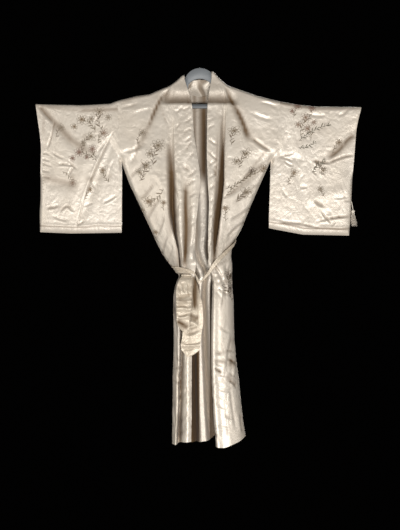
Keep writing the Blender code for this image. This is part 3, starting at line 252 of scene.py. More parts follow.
# Broad creases of the sleeves
# columns: start x and height, end x and height, half width, depth (minus is a ridge)
LEFT_SLEEVE_CREASES = [
    (-612, -128, -460, -300, 16, 4.5), (-318, -238, -470, -590, 14, 5),
    (-345, -250, -395, -315, 16, 3.5), (-580, -420, -470, -420, 18, 3.5),
    (-440, -330, -500, -520, 20, -3),
]
RIGHT_SLEEVE_CREASES = [
    (592, -205, 480, -318, 16, 4.5), (290, -310, 380, -326, 16, 4),
    (455, -548, 490, -520, 14, 3.5), (300, -180, 420, -560, 20, 4),
    (400, -480, 560, -440, 20, -3),
]
BACK_SLEEVE_CREASES = [
    (0.1, 0.04, 0.62, 0.46, 18, 3.5),
    (0.98, 0.25, 0.55, 0.95, 16, 4.5),
    (0.15, 0.7, 0.6, 0.6, 18, -3),
]

# Course of the sash round the waist, looked at from above and going round clockwise
# columns: name, place across from -1 at the left side to 1 at the right side, height,
# whether it lies before (-1) or behind (1) the middle plane, height of the gathered band
# there, how far it stands off the cloth under it
SASH_COURSE = [
    ("left side", -1, -745, -1, 27, 4),
    ("left of the knot", -0.84, -745, -1, 26, 3.6),
    ("knot", -0.62, -748, -1, 20, 2.8),
    ("free edge of the left front", -0.42, -754, -1, 12, 4),
    ("slack down", -0.29, -776, -1, 11, 8.6),
    ("lowest point of the slack", -0.17, -790, -1, 11, 9),
    ("slack up", -0.01, -772, -1, 12, 6),
    ("right front", 0.36, -730, -1, 18, 2.8),
    ("right hip", 0.76, -687, -1, 20, 2.6),
    ("right flank", 0.95, -660, -1, 20, 2.6),
    ("right side", 1, -645, -1, 20, 3.6),
    ("right edge of the back", 0.96, -641, 1, 22, 3.4),
    ("right of the back", 0.8, -642, 1, 24, 3),
    ("right middle of the back", 0.4, -660, 1, 28, 2.2),
    ("left middle of the back", -0.25, -700, 1, 30, 2.2),
    ("left of the back", -0.78, -738, 1, 28, 3.4),
]
# Gathers across the band: share of its height, how far the fold stands out
SASH_PLEATS = [(-0.5, 0), (-0.3, 4), (-0.12, 1), (0.06, 4.5), (0.24, 1.2),
               (0.4, 3.6), (0.5, 0.6)]
# Band heights at which the gathers lie flat and at which they stand out as the table says
FLAT_HEIGHT = 10.0
PLEATED_HEIGHT = 27.0
SASH_THICKNESS = 1.2
# Hanging ends of the sash: height, left edge x, right edge x, stand-off from the skirt
SHORT_END = [
    (-768.5, -74, -38, 7.8), (-784, -83, -35, 17), (-803, -90, -34, 17), (-829, -93, -34, 20),
    (-846, -92.5, -34, 15), (-862, -92, -35, 21), (-874, -92, -36, 16), (-889, -91.5, -38, 21),
    (-904, -91.5, -39, 16), (-919, -91, -41, 20), (-934, -91, -44, 17), (-948, -88, -43, 17),
    (-966, -76, -45, 14), (-978, -66, -50, 13),
]
LONG_END = [
    (-769, -62, -28, 2.4), (-798, -66, -14, 2.6), (-842, -68, -4, 5), (-866, -68, 4, 7),
    (-905, -69, 7, 8), (-935, -69, 8, 6), (-960, -69, 6, 6), (-980, -69, 2, 8),
    (-1010, -73, -1, 9), (-1024, -76, -3, 12), (-1040, -74, -5, 8), (-1056, -63, -20, 8),
    (-1069, -53, -42, 8),
]
END_BELLY = 3.0
# The ends lie on the oval between these places, and never behind its depth at the last
END_LEFT_X = -85.0
END_RIGHT_X = 200.0
END_REST_X = -45.0
# Middle of the knot (x, depth worked out from the cloth, height) and its half sizes
KNOT_CENTRE = (-54.0, 0.0, -764.0)
KNOT_HALF = (22.0, 6.5, 4.4)
# How far the knot's middle stands off the cloth behind it
KNOT_STAND = 10.5

# Tassel that hangs from the right cuff
TASSEL_TOP = (571.3, -8.0, -486.0)
TASSEL_SLANT = 5.4
TASSEL_STEM = 30.0
TASSEL_HEAD_RADIUS = 7.0
TASSEL_HEAD_HEIGHT = 13.0
TASSEL_LENGTH = 52.0
# Radius of the head down its height: share of the height, share of the radius
TASSEL_PROFILE = [(0, 0.25), (0.2, 0.8), (0.5, 1), (0.8, 0.8), (1, 0.88)]

# The hanger's upper outline either side of the crown
# columns: x, height
HANGER_ARMS = [(-192, -79.6), (-156, -62.6), (-118, -47.6), (-80, -31), (60, -31),
               (101, -47.8), (139, -59.6), (192, -78.5)]
# How many more leaves, and how much larger flowers, than the sprays' tables say
LEAF_CROWDING = 1.8
BLOSSOM_SIZE = 1.3
# The second and third flower of a spray: offset and size as shares of the first's size, and
# how far each is turned for its number
FURTHER_FLOWERS = [(-1.2, -1.1, 0.7, 1.1), (1.3, -0.8, 0.6, 0.4)]
# Stitches that close each cuff: x, lowest and highest height, direction into the sleeve
CUFF_STITCHES = {
    "sleeve_left": (-599, -450, -285, 1),
    "sleeve_right": (583, -535, -395, -1),
}

# Cross ridges of the sash's ends, as creases
SHORT_RIDGES = [
    (-90, -846, -38, -836, 3, 7, 3.8), (-90, -878, -44, -884, -3, 7, 3.8),
    (-88, -915, -46, -905, 3, 8, 4), (-92, -934, -60, -948, 2, 5, 2.6),
    (-70, -790, -60, -832, 2, 5, 3), (-86, -800, -78, -842, -2, 5, 2.6),
    (-48, -792, -44, -850, 2, 4, 2.4),
]
LONG_RIDGES = [
    (-46, -930, -10, -945, -4, 8, 3.6), (-52, -985, -12, -968, 4, 8, 3.4),
    (-30, -800, -20, -900, 3, 5, 3), (-48, -790, -44, -890, -3, 5, 2.6),
    (-12, -860, -10, -960, 2, 5, 2.4), (-62, -1020, -6, -1016, 2, 5, 3.4),
    (-66, -1044, -24, -1036, 2, 5, 2.6), (-64, -960, -20, -948, -3, 5, 2.4),
]

# Threads of each kind of spray: petals, heart and leaves
THREADS = {
    "red": ((0.27, 0.16, 0.12), (0.20, 0.13, 0.06), (0.22, 0.17, 0.11)),
    "pink": ((0.36, 0.26, 0.20), (0.26, 0.17, 0.08), (0.26, 0.20, 0.13)),
    "grey": ((0.33, 0.27, 0.20), (0.20, 0.15, 0.09), (0.26, 0.20, 0.14)),
    "green": (None, None, (0.17, 0.15, 0.10)),
    "brown": ((0.30, 0.22, 0.14), (0.17, 0.11, 0.06), (0.25, 0.19, 0.12)),
    "dark": ((0.12, 0.08, 0.05), (0.05, 0.035, 0.02), (0.16, 0.12, 0.07)),
}

# Sprays on each panel, drawn from their foot to their flower
# columns: start x and height, end x and height, bend, leaves, size, kind, flowers
LEFT_SLEEVE_SPRAYS = [
    (-376, -215, -384, -146, 8, 4, 20, "grey", 3),
    (-402, -222, -452, -176, -10, 6, 18, "brown", 2),
    (-392, -268, -368, -226, 6, 5, 15, "pink", 1),
    (-456, -296, -418, -240, 8, 5, 17, "grey", 2),
    (-396, -336, -460, -300, -7, 6, 16, "red", 3),
    (-395, -322, -410, -288, 4, 3, 14, "red", 1),
    (-524, -372, -486, -414, 7, 5, 13, "pink", 1),
    (-348, -412, -372, -366, 6, 5, 13, "brown", 1),
    (-550, -242, -528, -204, 4, 4, 12, "grey", 1),
    (-442, -478, -418, -440, 4, 4, 12, "brown", 1),
]
RIGHT_SLEEVE_SPRAYS = [
    (352, -166, 366, -124, 5, 3, 14, "red", 2),
    (404, -178, 418, -132, -5, 3, 14, "red", 1),
    (380, -236, 396, -168, 7, 5, 18, "pink", 3),
    (418, -256, 402, -208, -5, 4, 15, "pink", 1),
    (376, -260, 488, -192, 12, 12, 17, "green", 0),
    (370, -286, 432, -256, -6, 8, 15, "green", 0),
    (424, -374, 472, -330, 7, 8, 17, "green", 0),
    (430, -338, 464, -368, 5, 5, 15, "grey", 1),
    (330, -424, 352, -378, 5, 5, 13, "brown", 1),
    (500, -304, 522, -260, 5, 4, 13, "brown", 1),
    (472, -474, 452, -436, 4, 4, 12, "grey", 1),
]
LEFT_FRONT_SPRAYS = [
    (-186, -352, -162, -278, 8, 5, 21, "grey", 2),
    (-236, -410, -204, -350, -8, 6, 20, "grey", 2),
    (-138, -440, -196, -488, 8, 6, 19, "brown", 2),
    (-164, -640, -171, -602, 4, 3, 9, "brown", 1),
    (-140, -520, -138, -492, 2, 3, 9, "brown", 1),
    (-236, -268, -222, -226, 5, 4, 12, "grey", 1),
]
RIGHT_FRONT_SPRAYS = [
    (116, -276, 122, -222, 6, 4, 16, "grey", 1),
    (150, -362, 167, -308, 6, 6, 19, "grey", 2),
    (96, -480, 236, -362, 16, 14, 15, "brown", 0),
    (98, -440, 190, -372, -8, 10, 14, "dark", 0),
    (140, -490, 172, -452, 6, 5, 24, "grey", 1),
    (96, -560, 92, -512, 3, 4, 10, "brown", 1),
    (114, -862, 110, -812, 4, 3, 18, "dark", 1),
    (106, -806, 112, -766, 4, 4, 18, "dark", 1),
]
BACK_SPRAYS = [
    (-130, -350, -60, -230, 14, 10, 22, "grey", 3),
    (70, -320, 20, -190, -12, 9, 22, "pink", 3),
    (170, -390, 110, -290, 10, 8, 18, "red", 2),
    (-210, -450, -160, -360, 9, 8, 18, "brown", 2),
    (-60, -530, -20, -420, 10, 9, 18, "grey", 2),
    (90, -1150, 60, -1030, 9, 8, 18, "brown", 2),
    (-40, -1180, -70, -1060, -9, 8, 18, "pink", 2),
]
HIDDEN_LEFT_SPRAYS = [
    (-430, -310, -372, -190, 12, 9, 20, "grey", 3),
    (-510, -390, -440, -330, 9, 7, 17, "red", 2),
    (-380, -480, -350, -400, 7, 6, 15, "brown", 2),
]
HIDDEN_RIGHT_SPRAYS = [
    (380, -310, 430, -200, 12, 9, 20, "pink", 3),
    (470, -400, 520, -340, -9, 9, 17, "green", 0),
    (340, -480, 380, -400, 7, 6, 15, "brown", 2),
]
EMBROIDERY = [
    ("sleeve_left", "silk_sleeve", LEFT_SLEEVE_SPRAYS),
    ("sleeve_right", "silk_sleeve", RIGHT_SLEEVE_SPRAYS),
    ("front_left", "silk_body", LEFT_FRONT_SPRAYS),
    ("front_right", "silk_body", RIGHT_FRONT_SPRAYS),
    ("back", "silk_body", BACK_SPRAYS),
    ("sleeve_left_back", "silk_sleeve", HIDDEN_LEFT_SPRAYS),
    ("sleeve_right_back", "silk_sleeve", HIDDEN_RIGHT_SPRAYS),
]

# Soft shade where the cloth leans away from the light
# columns: start x and height, end x and height, width, strength
FRONT_SHADE = [
    (-118, -64, -140, -112, 9, 0.35), (-150, -88, -225, -265, 11, 0.5),
    (-300, -112, -190, -76, 7, 0.3), (-122, -280, -110, -600, 13, 0.65),
    (-58, -430, -60, -725, 8, 0.85), (-92, -640, -86, -735, 5, 0.5),
    (112, -100, 190, -255, 16, 0.5), (150, -50, 285, -100, 8, 0.5), (190, -250, 255, -290, 8, 0.3),
    (248, -292, 160, -400, 5, 0.4), (232, -350, 96, -470, 5, 0.4), (64, -240, 48, -690, 8, 0.5),
    (79, -170, 58, -720, 9, 0.6), (50, -1060, 100, -1050, 8, 0.25),
    (112, -1010, 150, -1020, 9, 0.3), (-20, -790, -19, -1390, 8, 0.9),
    (50, -1084, 92, -1090, 7, 0.5), (104, -1088, 132, -1102, 14, 0.65),
    (54, -1114, 76, -1128, 5, 0.7), (98, -1140, 132, -1180, 13, 0.4),
    (-84, -1290, -84, -1380, 8, 0.4),
]
END_SHADE = [
    (-20, -760, -24, -890, 13, 1), (-88, -935, -50, -960, 13, 0.85),
    (-84, -858, -52, -862, 6, 0.6), (-42, -912, -12, -928, 11, 0.8),
    (-40, -965, -14, -958, 6, 0.5), (-58, -985, -30, -975, 8, 0.3),
]
SLEEVE_SHADE = [
    (-610, -124, -538, -202, 12, 0.55), (-560, -180, -480, -264, 16, 0.62),
    (-502, -244, -430, -294, 15, 0.55), (-452, -283, -400, -304, 12, 0.4),
    (-590, -128, -450, -144, 6, 0.35), (-460, -142, -300, -136, 9, 0.55),
    (-596, -396, -470, -424, 16, 0.45), (-490, -384, -474, -424, 8, 0.35),
    (-594, -160, -598, -230, 6, 0.3), (-450, -236, -420, -250, 12, 0.25),
    (-580, -512, -490, -506, 7, 0.3), (-440, -400, -330, -392, 10, 0.2),
    (236, -98, 345, -122, 7, 0.55), (340, -122, 440, -136, 7, 0.5),
    (430, -136, 600, -134, 6, 0.35), (580, -232, 533, -278, 13, 0.58),
    (554, -258, 484, -318, 15, 0.58), (424, -331, 486, -340, 7, 0.4),
    (486, -340, 577, -308, 7, 0.35), (600, -160, 586, -230, 6, 0.3),
    (428, -480, 464, -502, 8, 0.3), (486, -550, 566, -542, 7, 0.4), (300, -566, 420, -578, 6, 0.4),
    (420, -584, 560, -592, 6, 0.3), (360, -270, 480, -200, 14, 0.18),
]

# Soft lights: name, place, width, height, watts, colour
STUDIO_LIGHTS = [
    ("key_light", (0.5, -5, -1.7), 1.7, 1.2, 192, (1, 0.98, 0.95)),
    ("right_light", (3.4, -3.4, -0.8), 0.9, 2, 36, (1, 0.97, 0.92)),
    ("left_light", (-3.4, -3.4, -0.8), 0.9, 2, 58, (1, 0.96, 0.90)),
    ("back_light", (0.6, 3, 0.4), 1.8, 2, 50, (1, 0.97, 0.93)),
]

# Small creases of the cloth, drawn on each panel
# columns: start x and height, end x and height, sideways bend, half width, depth
LEFT_BODY_CREASES = [
    (-122, -62, -196, -205, 10, 9, 5), (-117, -60, -139, -116, 0, 4, -3),
    (-236, -245, -268, -345, -8, 10, 3.5), (-150, -120, -128, -190, 4, 7, 3),
    (-300, -130, -238, -112, 4, 8, 2.5), (-262, -150, -190, -128, -5, 8, -2.2),
    (-296, -300, -214, -268, 6, 9, 3), (-270, -398, -190, -330, -6, 9, 3.2),
    (-232, -480, -170, -402, 5, 8, 2.6), (-205, -560, -150, -470, -5, 8, 2.6),
    (-178, -640, -140, -540, 4, 7, 2.4), (-150, -700, -126, -610, -3, 7, 2.8),
    (-132, -726, -108, -650, 3, 6, 2.4), (-200, -260, -150, -330, 7, 8, 2),
    (-180, -380, -140, -440, -5, 8, -1.8), (-165, -300, -140, -230, 4, 8, 2),
    (-112, -800, -86, -1010, 3, 7, 2.6), (-96, -1040, -84, -1230, -3, 7, 2.4),
    (-108, -1200, -90, -1360, 3, 6, 2.2), (-108, -1070, -72, -1085, 2, 5, 2.4),
    (-106, -1120, -70, -1112, -2, 5, 2.6), (-108, -1160, -74, -1172, 3, 5, 2.4),
    (-66, -190, -36, -172, 3, 4, 3.5), (-64, -228, -34, -214, -3, 4, 3.2),
    (-60, -262, -36, -238, 3, 4, 3.4), (-56, -300, -34, -262, -4, 4, 3.6),
    (-52, -330, -28, -300, 3, 4, 3.6), (-66, -350, -44, -372, 3, 4, 3),
    (-48, -392, -18, -366, 3, 5, 3.8), (-52, -430, -24, -408, -3, 4, 3.4),
    (-48, -470, -22, -452, 3, 4, 3), (-44, -520, -24, -500, -3, 4, 2.8),
    (-42, -580, -24, -560, 3, 4, 2.6), (-40, -660, -26, -630, 3, 4, 2.4),
    (-96, -150, -70, -128, 3, 5, 3), (-92, -210, -74, -190, -3, 4, 2.6),
    (-70, -140, -44, -128, 3, 4, 3.2),
]
RIGHT_BODY_CREASES = [
    (95, -50, 129, -128, 4, 12, 6), (90, -60, 103, -120, 0, 4, -3),
    (129, -128, 178, -255, -5, 14, 6), (190, -243, 266, -296, 5, 8, 4),
    (253, -334, 156, -407, 6, 8, 4), (234, -361, 91, -471, -7, 8, 4),
    (286, -130, 228, -112, 4, 8, 2.4), (266, -176, 196, -150, -5, 9, 2.4),
    (225, -420, 120, -500, 5, 8, 3), (196, -500, 110, -560, -4, 8, 2.8),
    (170, -560, 100, -622, 4, 7, 2.8), (148, -610, 84, -676, -4, 7, 3),
    (112, -700, 60, -735, 3, 5, 3), (116, -745, 50, -770, -3, 5, 3.4),
    (118, -790, 58, -792, 3, 6, 3), (120, -840, 64, -812, -4, 6, 2.6),
    (112, -720, 92, -860, 4, 6, 2.6), (96, -730, 76, -900, -3, 6, 2.4),
    (120, -980, 96, -1120, 3, 8, 2.4), (128, -1010, 118, -1180, -3, 8, -2),
    (150, -1285, 160, -1360, 2, 8, 3.4), (110, -1180, 132, -1340, 3, 8, 2.2),
    (88, -1240, 100, -1380, -3, 7, 1.8), (160, -300, 120, -380, 5, 9, -2),
    (27, -180, 52, -170, 2, 4, 3), (26, -215, 50, -200, -3, 4, 3.4),
    (30, -250, 58, -272, 3, 5, 4), (27, -296, 61, -331, 2, 4, 4.6),
    (30, -350, 56, -330, 2, 4, 3.4), (32, -400, 56, -386, -3, 4, 3),
    (30, -440, 52, -420, 2, 4, 3.2), (28, -490, 48, -476, 2, 4, 2.8),
    (30, -545, 46, -530, 2, 4, 2.6), (28, -600, 44, -588, 2, 4, 2.8),
    (30, -655, 42, -640, 2, 4, 2.6), (50, -1092, 81, -1102, 3, 4, 3.8),
    (102, -1079, 134, -1104, -4, 7, 4.4), (54, -1113, 78, -1129, 2, 4, 5),
    (66, -1134, 94, -1142, 3, 4, 3.6), (110, -1134, 134, -1146, 2, 4, 3.6),
    (107, -1160, 134, -1188, -4, 7, 3.8), (46, -1062, 76, -1054, 2, 4, 2.8),
    (96, -1048, 140, -1060, -3, 5, 3), (70, -1195, 112, -1204, -3, 6, 2.4),
    (58, -1240, 86, -1262, 3, 6, 2.4), (90, -1290, 130, -1302, 4, 6, 2.6),
    (64, -1330, 104, -1346, -3, 6, 2.6), (72, -955, 112, -980, 4, 7, 2),
]
BACK_BODY_CREASES = [
    (-230, -130, -150, -190, 8, 10, 3.5), (-60, -110, -20, -220, -6, 12, 3),
    (200, -140, 120, -210, -7, 11, 3.5), (60, -120, 30, -260, 6, 12, 3),
    (-285, -290, -180, -240, 5, 10, 3), (255, -300, 150, -250, -6, 10, 3),
    (-240, -420, -150, -350, -5, 9, 3), (205, -430, 120, -380, 5, 9, 3),
    (-190, -560, -110, -470, 5, 8, 2.6), (150, -580, 90, -500, -4, 8, 2.6),
    (-60, -300, -90, -480, 6, 12, 2.4), (40, -330, 60, -520, -6, 12, 2.4),
    (-120, -660, -60, -600, 4, 8, 2.4), (100, -640, 40, -590, -4, 8, 2.4),
    (-20, -900, -30, -1100, 4, 9, 1.8), (80, -950, 90, -1150, -4, 9, 1.8),
]
LEFT_SLEEVE_FINE = [
    (-615, -120, -555, -188, 4, 8, 3), (-338, -232, -445, -479, 4, 5, 4.4),
    (-445, -479, -475, -590, -3, 5, 2.6), (-350, -243, -391, -296, -2, 4, 3.4),
    (-555, -182, -581, -281, -3, 5, 3.6), (-372, -148, -402, -186, 4, 4, 2.8),
    (-441, -502, -410, -490, 1, 4, 2.8), (-369, -490, -323, -464, 2, 5, 3.6),
    (-467, -574, -441, -557, 1, 4, 3.8), (-560, -300, -520, -322, 3, 5, 3),
    (-540, -345, -480, -352, -3, 5, 3.2), (-500, -330, -470, -362, 3, 5, 3),
    (-598, -340, -566, -350, 2, 4, 2.6), (-600, -300, -572, -310, -2, 4, 2.4),
    (-600, -322, -572, -330, 2, 4, 2.4), (-600, -366, -572, -372, 2, 4, 2.6),
    (-600, -392, -570, -398, -2, 4, 2.6), (-480, -355, -498, -384, 3, 6, 3.6),
    (-581, -508, -540, -500, 3, 6, 3), (-532, -522, -504, -500, -2, 5, 3.4),
    (-506, -500, -480, -522, 2, 5, 3.4), (-560, -540, -500, -556, 4, 6, 2.4),
    (-330, -330, -352, -410, 5, 8, 1.6), (-420, -380, -396, -440, 4, 8, 1.6),
]
RIGHT_SLEEVE_FINE = [
    (577, -236, 541, -269, 4, 8, 3), (541, -269, 486, -316, -5, 8, 3.4),
    (424, -331, 486, -338, 3, 6, 3), (486, -338, 577, -309, -5, 6, 3),
    (304, -312, 350, -302, 2, 4, 3.2), (300, -316, 345, -332, -2, 5, 3.2),
    (457, -527, 492, -565, 2, 4, 4.6), (443, -560, 559, -541, -3, 5, 3.6),
    (494, -578, 508, -560, 1, 4, 3.2), (428, -483, 466, -503, 3, 7, 3.2),
    (505, -472, 559, -467, 2, 4, 2.6), (541, -483, 576, -481, 1, 4, 2.6),
    (376, -432, 400, -430, 1, 5, 2.6), (421, -367, 437, -383, 1, 4, 3.4),
    (450, -371, 470, -383, 1, 4, 3.4), (433, -332, 456, -350, 2, 5, 3.8),
    (318, -332, 350, -350, 3, 6, 2.4), (300, -560, 380, -566, 2, 5, 2.6),
    (390, -572, 450, -584, 2, 5, 3), (308, -440, 330, -470, 3, 7, 1.6),
    (400, -150, 470, -160, 5, 9, 1.4), (520, -160, 560, -130, 5, 9, 2),
]
HIDDEN_SLEEVE_FINE = [
    (0.05, 0.05, 0.4, 0.4, 8, 9, 4), (0.5, 0.2, 0.85, 0.5, -8, 9, 3),
    (0.9, 0.4, 0.6, 0.95, 8, 9, 3.4), (0.15, 0.6, 0.45, 0.8, -6, 9, 2.6),
    (0.3, 0.1, 0.6, 0.2, 5, 8, 2.4), (0.7, 0.75, 0.95, 0.9, -4, 8, 2.4),
    (0.1, 0.9, 0.4, 0.95, 3, 7, 2),
]

# Small sharp wrinkles all over the cloth
# columns: turn of the wrinkles, length across, length along, height
CRUMPLE_LAYERS = [
    (0.35, 11, 40, 0.6), (-0.6, 10, 36, 0.5), (1.2, 11, 30, 0.4),
    (0.1, 32, 100, 0.7),
]
# Share of the drawn width at which a crease has sunk to a third
CREASE_WIDTH = 0.62

# Cloth over the hanger's bar: where the ridge starts and ends across the fronts, its
# height, how far the cloth sinks back above it, and the shade there
BAR_REACH = (-154, -140, 128, 142)
BAR_RIDGE = 2.5
SHELF_DEPTH = 11.0
SHELF_SHADE = 0.75
# Swell of the left front over the sash: where it starts, is full, falls and ends
SWELL_DEPTH = 9.0
SWELL_Z = (-640, -695, -704, -718)
SWELL_X = (-76, -64, -32, -20)
# How lively the wrinkles are: on the fronts, more on each collar, more on the skirt, and on
# the sleeves
FRONT_CRUMPLE = 0.9
COLLAR_CRUMPLE = {"left": 0.45, "right": 0.9}
SKIRT_CRUMPLE = 0.6
SLEEVE_CRUMPLE = 0.5
# Part of the back, under the opening of the fronts, where the cloth lies calm
CALM_X = 4.0
CALM_WIDTH = 46.0
# Heights between which the painted shade on the inside of the back changes from that of the
# chest to that of the folds, and from there to that of the skirt
CHEST_TO_FOLDS = (-360, -440)
FOLDS_TO_SKIRT = (-780, -815)
# Height of the hem's fold over a sleeve's foot, its depth and its width
SLEEVE_HEM = 30.0
HEM_STEP = 1.4
HEM_WIDTH = 3.5
# Rows and columns of one layer of a sleeve
SLEEVE_ROWS = 132
SLEEVE_COLUMNS = 120
# Millimetres that one radian counts for where the sash's course is rounded
SASH_TURN = 60.0
# Thickness of the sash's cloth as shown
SASH_SHOWN = 0.84
# Tints: the thread of the cuff's stitches, the surround and the floor
CUFF_THREAD = (0.30, 0.25, 0.17)
SURROUND_TINT = (0.9, 0.85, 0.8)
FLOOR_TINT = (0.62, 0.60, 0.57)
# Half width of the floor and its reach to the front and to the back, in millimetres
FLOOR_HALF = 1200.0
FLOOR_FRONT = -1560.0
FLOOR_BACK = 480.0
# Camera and the point that the lights are turned to, in metres
CAMERA_X = -0.0038
CAMERA_Z = -0.7258
LIGHT_AIM = (0, 0, -0.72)
SENSOR_HEIGHT = 36.0


def column(table, index):
    """One column of a table as an array."""
    return np.array([row[index] for row in table], dtype=float)


def smooth_curve(knots, values, wanted):
    """A smooth curve through the values that never swings past them (monotone cubic)."""
    knots = np.asarray(knots, dtype=float)
    values = np.asarray(values, dtype=float)
    if knots[0] > knots[-1]:
        knots = knots[::-1]
        values = values[::-1]
    step = np.diff(knots)
    slope = np.diff(values) / step
    tangent = np.zeros(len(knots))
    tangent[0] = slope[0]
    tangent[-1] = slope[-1]
    same = slope[:-1] * slope[1:] > 0
    mean = 2 * slope[:-1] * slope[1:] / np.where(same, slope[:-1] + slope[1:], 1.0)
    tangent[1:-1] = np.where(same, mean, 0.0)
    wanted = np.clip(np.asarray(wanted, dtype=float), knots[0], knots[-1])
    place = np.clip(np.searchsorted(knots, wanted) - 1, 0, len(step) - 1)
    t = (wanted - knots[place]) / step[place]
    return (
        (2 * t**3 - 3 * t**2 + 1) * values[place]
        + (t**3 - 2 * t**2 + t) * tangent[place] * step[place]
        + (3 * t**2 - 2 * t**3) * values[place + 1]
        + (t**3 - t**2) * tangent[place + 1] * step[place]
    )


def ease(low, high, value):
    """0 below low, 1 above high, and a soft step between them."""
    t = np.clip((np.asarray(value, dtype=float) - low) / (high - low), 0.0, 1.0)
    return t * t * (3 - 2 * t)


def plateau(value, start, full, fall, end):
    """0 outside start and end, 1 from full to fall, and soft steps between."""
    return ease(start, full, value) * (1 - ease(fall, end, value))


def bell(value, middle, width, power=2):
    """exp(-|(value - middle) / width|^power): 1 at the middle, a third a width away."""
    return np.exp(-np.abs((value - middle) / width) ** power)


def curve(table, index, wanted):
    """One column of a table as a smooth curve over its first column."""
    return smooth_curve(column(table, 0), column(table, index), wanted)


def straight(table, wanted):
    """The second column of a table as straight lines over its first."""
    return np.interp(wanted, column(table, 0), column(table, 1))


def unit(vectors):
    """Vectors of length one in the same directions."""
    return vectors / np.maximum(np.linalg.norm(vectors, axis=-1, keepdims=True), 1e-9)


def stacked(*parts):
    """Arrays spread to one shape and set side by side along a last axis."""
    return np.stack(np.broadcast_arrays(*parts), axis=-1)


def rounded_line(points, counts):
    """Points on a centripetal Catmull-Rom curve; the first axis runs along the line.

    Between two points the curve is a cubic whose end slopes come from the neighbours,
    weighed by the square root of the distance, so short spans beside long ones stay calm.
    counts gives the number of steps of each span.
    """
    gap = np.sqrt(np.maximum(np.linalg.norm(np.diff(points, axis=0), axis=-1), 0.5))
    gap = np.concatenate([gap[:1], gap, gap[-1:]])[..., None]
    padded = np.concatenate(
        [2 * points[:1] - points[1:2], points, 2 * points[-1:] - points[-2:-1]]
    )
    pieces = []
    for k, count in enumerate(counts):
        before, start, end, after = padded[k:k + 4]
        d0, d1, d2 = gap[k:k + 3]
        leave = ((start - before) / d0 - (end - before) / (d0 + d1) + (end - start) / d1) * d1
        reach = ((end - start) / d1 - (after - start) / (d1 + d2) + (after - end) / d2) * d1
        t = (np.arange(count) / count).reshape((-1,) + (1,) * start.ndim)
        pieces.append(
            (2 * t**3 - 3 * t**2 + 1) * start + (t**3 - 2 * t**2 + t) * leave
            + (3 * t**2 - 2 * t**3) * end + (t**3 - t**2) * reach
        )
    pieces.append(points[-1:])
    return np.concatenate(pieces)


def smooth_noise(u, v, cell_u, cell_v, seed):
    """Value noise from -1 to 1: random corner values of a lattice, blended smoothly."""
    a = u / cell_u
    b = v / cell_v
    i = np.floor(a)
    j = np.floor(b)
    s = a - i
    t = b - j
    s = s * s * (3 - 2 * s)
    t = t * t * (3 - 2 * t)

    def corner(p, q):
        h = np.sin(p * 127.1 + q * 311.7 + seed * 74.7) * 43758.5453
        return 2 * (h - np.floor(h)) - 1

    low = corner(i, j) * (1 - s) + corner(i + 1, j) * s
    high = corner(i, j + 1) * (1 - s) + corner(i + 1, j + 1) * s
    return low * (1 - t) + high * t


def crumple(x, z, seed):
    """Small sharp wrinkles of silk: ridged noise, |n| upside down, on two turned grids."""
    total = np.zeros(np.shape(x))
    for turn, cell_u, cell_v, height in CRUMPLE_LAYERS:
        c, s = math.cos(turn), math.sin(turn)
        warp = 14 * smooth_noise(x, z, 60, 60, seed + 3)
        u = c * x + s * z + warp
        v = c * z - s * x + warp
        ridge = 1 - np.abs(smooth_noise(u, v, cell_u, cell_v, seed + cell_u)) * 2.2
        mask = ease(-0.35, 0.5, smooth_noise(x, z, 95, 120, seed + 11 + turn))
        total = total + height * np.maximum(ridge, 0) ** 2 * mask
    return total


def crease_relief(x, z, creases):
    """Sum of troughs: each falls off with the distance from its bent line and its ends."""
    total = np.zeros(np.shape(x))
    for x0, z0, x1, z1, bend, width, depth in creases:
        length = math.hypot(x1 - x0, z1 - z0)
        dir_x = (x1 - x0) / length
        dir_z = (z1 - z0) / length
        along = ((x - x0) * dir_x + (z - z0) * dir_z) / length
        away = (x - x0) * dir_z - (z - z0) * dir_x
        away = away - bend * 4 * along * (1 - along)
        fade = plateau(along, -0.1, 0.2, 0.75, 1.1)
        away = away / (CREASE_WIDTH * width)
        sharp = np.exp(-np.abs(away) ** 1.5) - 0.35 * np.exp(-((away - 1.9) ** 2))
        total = total + depth * sharp * fade
    return total


def envelope(x, z, side):
    """Depth y of the garment's outside: an oval whose half width and depth follow z."""
    left, right = garment_side(z, -1), garment_side(z, 1)
    across = np.abs(x - (left + right) / 2) / ((right - left) / 2)
    across = across * (1 - (1 - ARMHOLE_SHARE) * ease(UNDERARM_Z, UNDERARM_Z + 45, z))
    across = np.clip(across, 0.0, 1.0)
    depth = curve(ENVELOPE, 3 if side < 0 else 4, z)
    return MIDDLE_Y + side * depth * (1 - across**SECTION_POWER) ** (1 / SECTION_POWER)


def garment_side(z, side):
    """x of the garment's left (-1) or right (1) side at height z."""
    return curve(ENVELOPE, 1 if side < 0 else 2, z)


def round_the_shoulder(y, drop):
    """Draw the depth y in to the shoulder line over the first few millimetres of drop."""
    t = np.clip(drop / RIDGE_ROUND, 0.0, 1.0)
    return RIDGE_Y + (y - RIDGE_Y) * np.sqrt(1 - (1 - t) ** 2)


def shoulder_height(x):
    """Height of the shoulder line at x, with its bends rounded by a mean of near heights."""
    soft = [straight(SHOULDER_LINE, x + shift) for shift in (-6, -3, 0, 3, 6)]
    return np.where((x > -100) & (x < 76), soft[2], sum(soft) / len(soft))


def drawn_up(z, top):
    """Heights whose first row is moved to top, the rows below it following less and less."""
    return z + (top - z[0]) * (1 - ease(0, SHOULDER_REACH, z[0] - z))


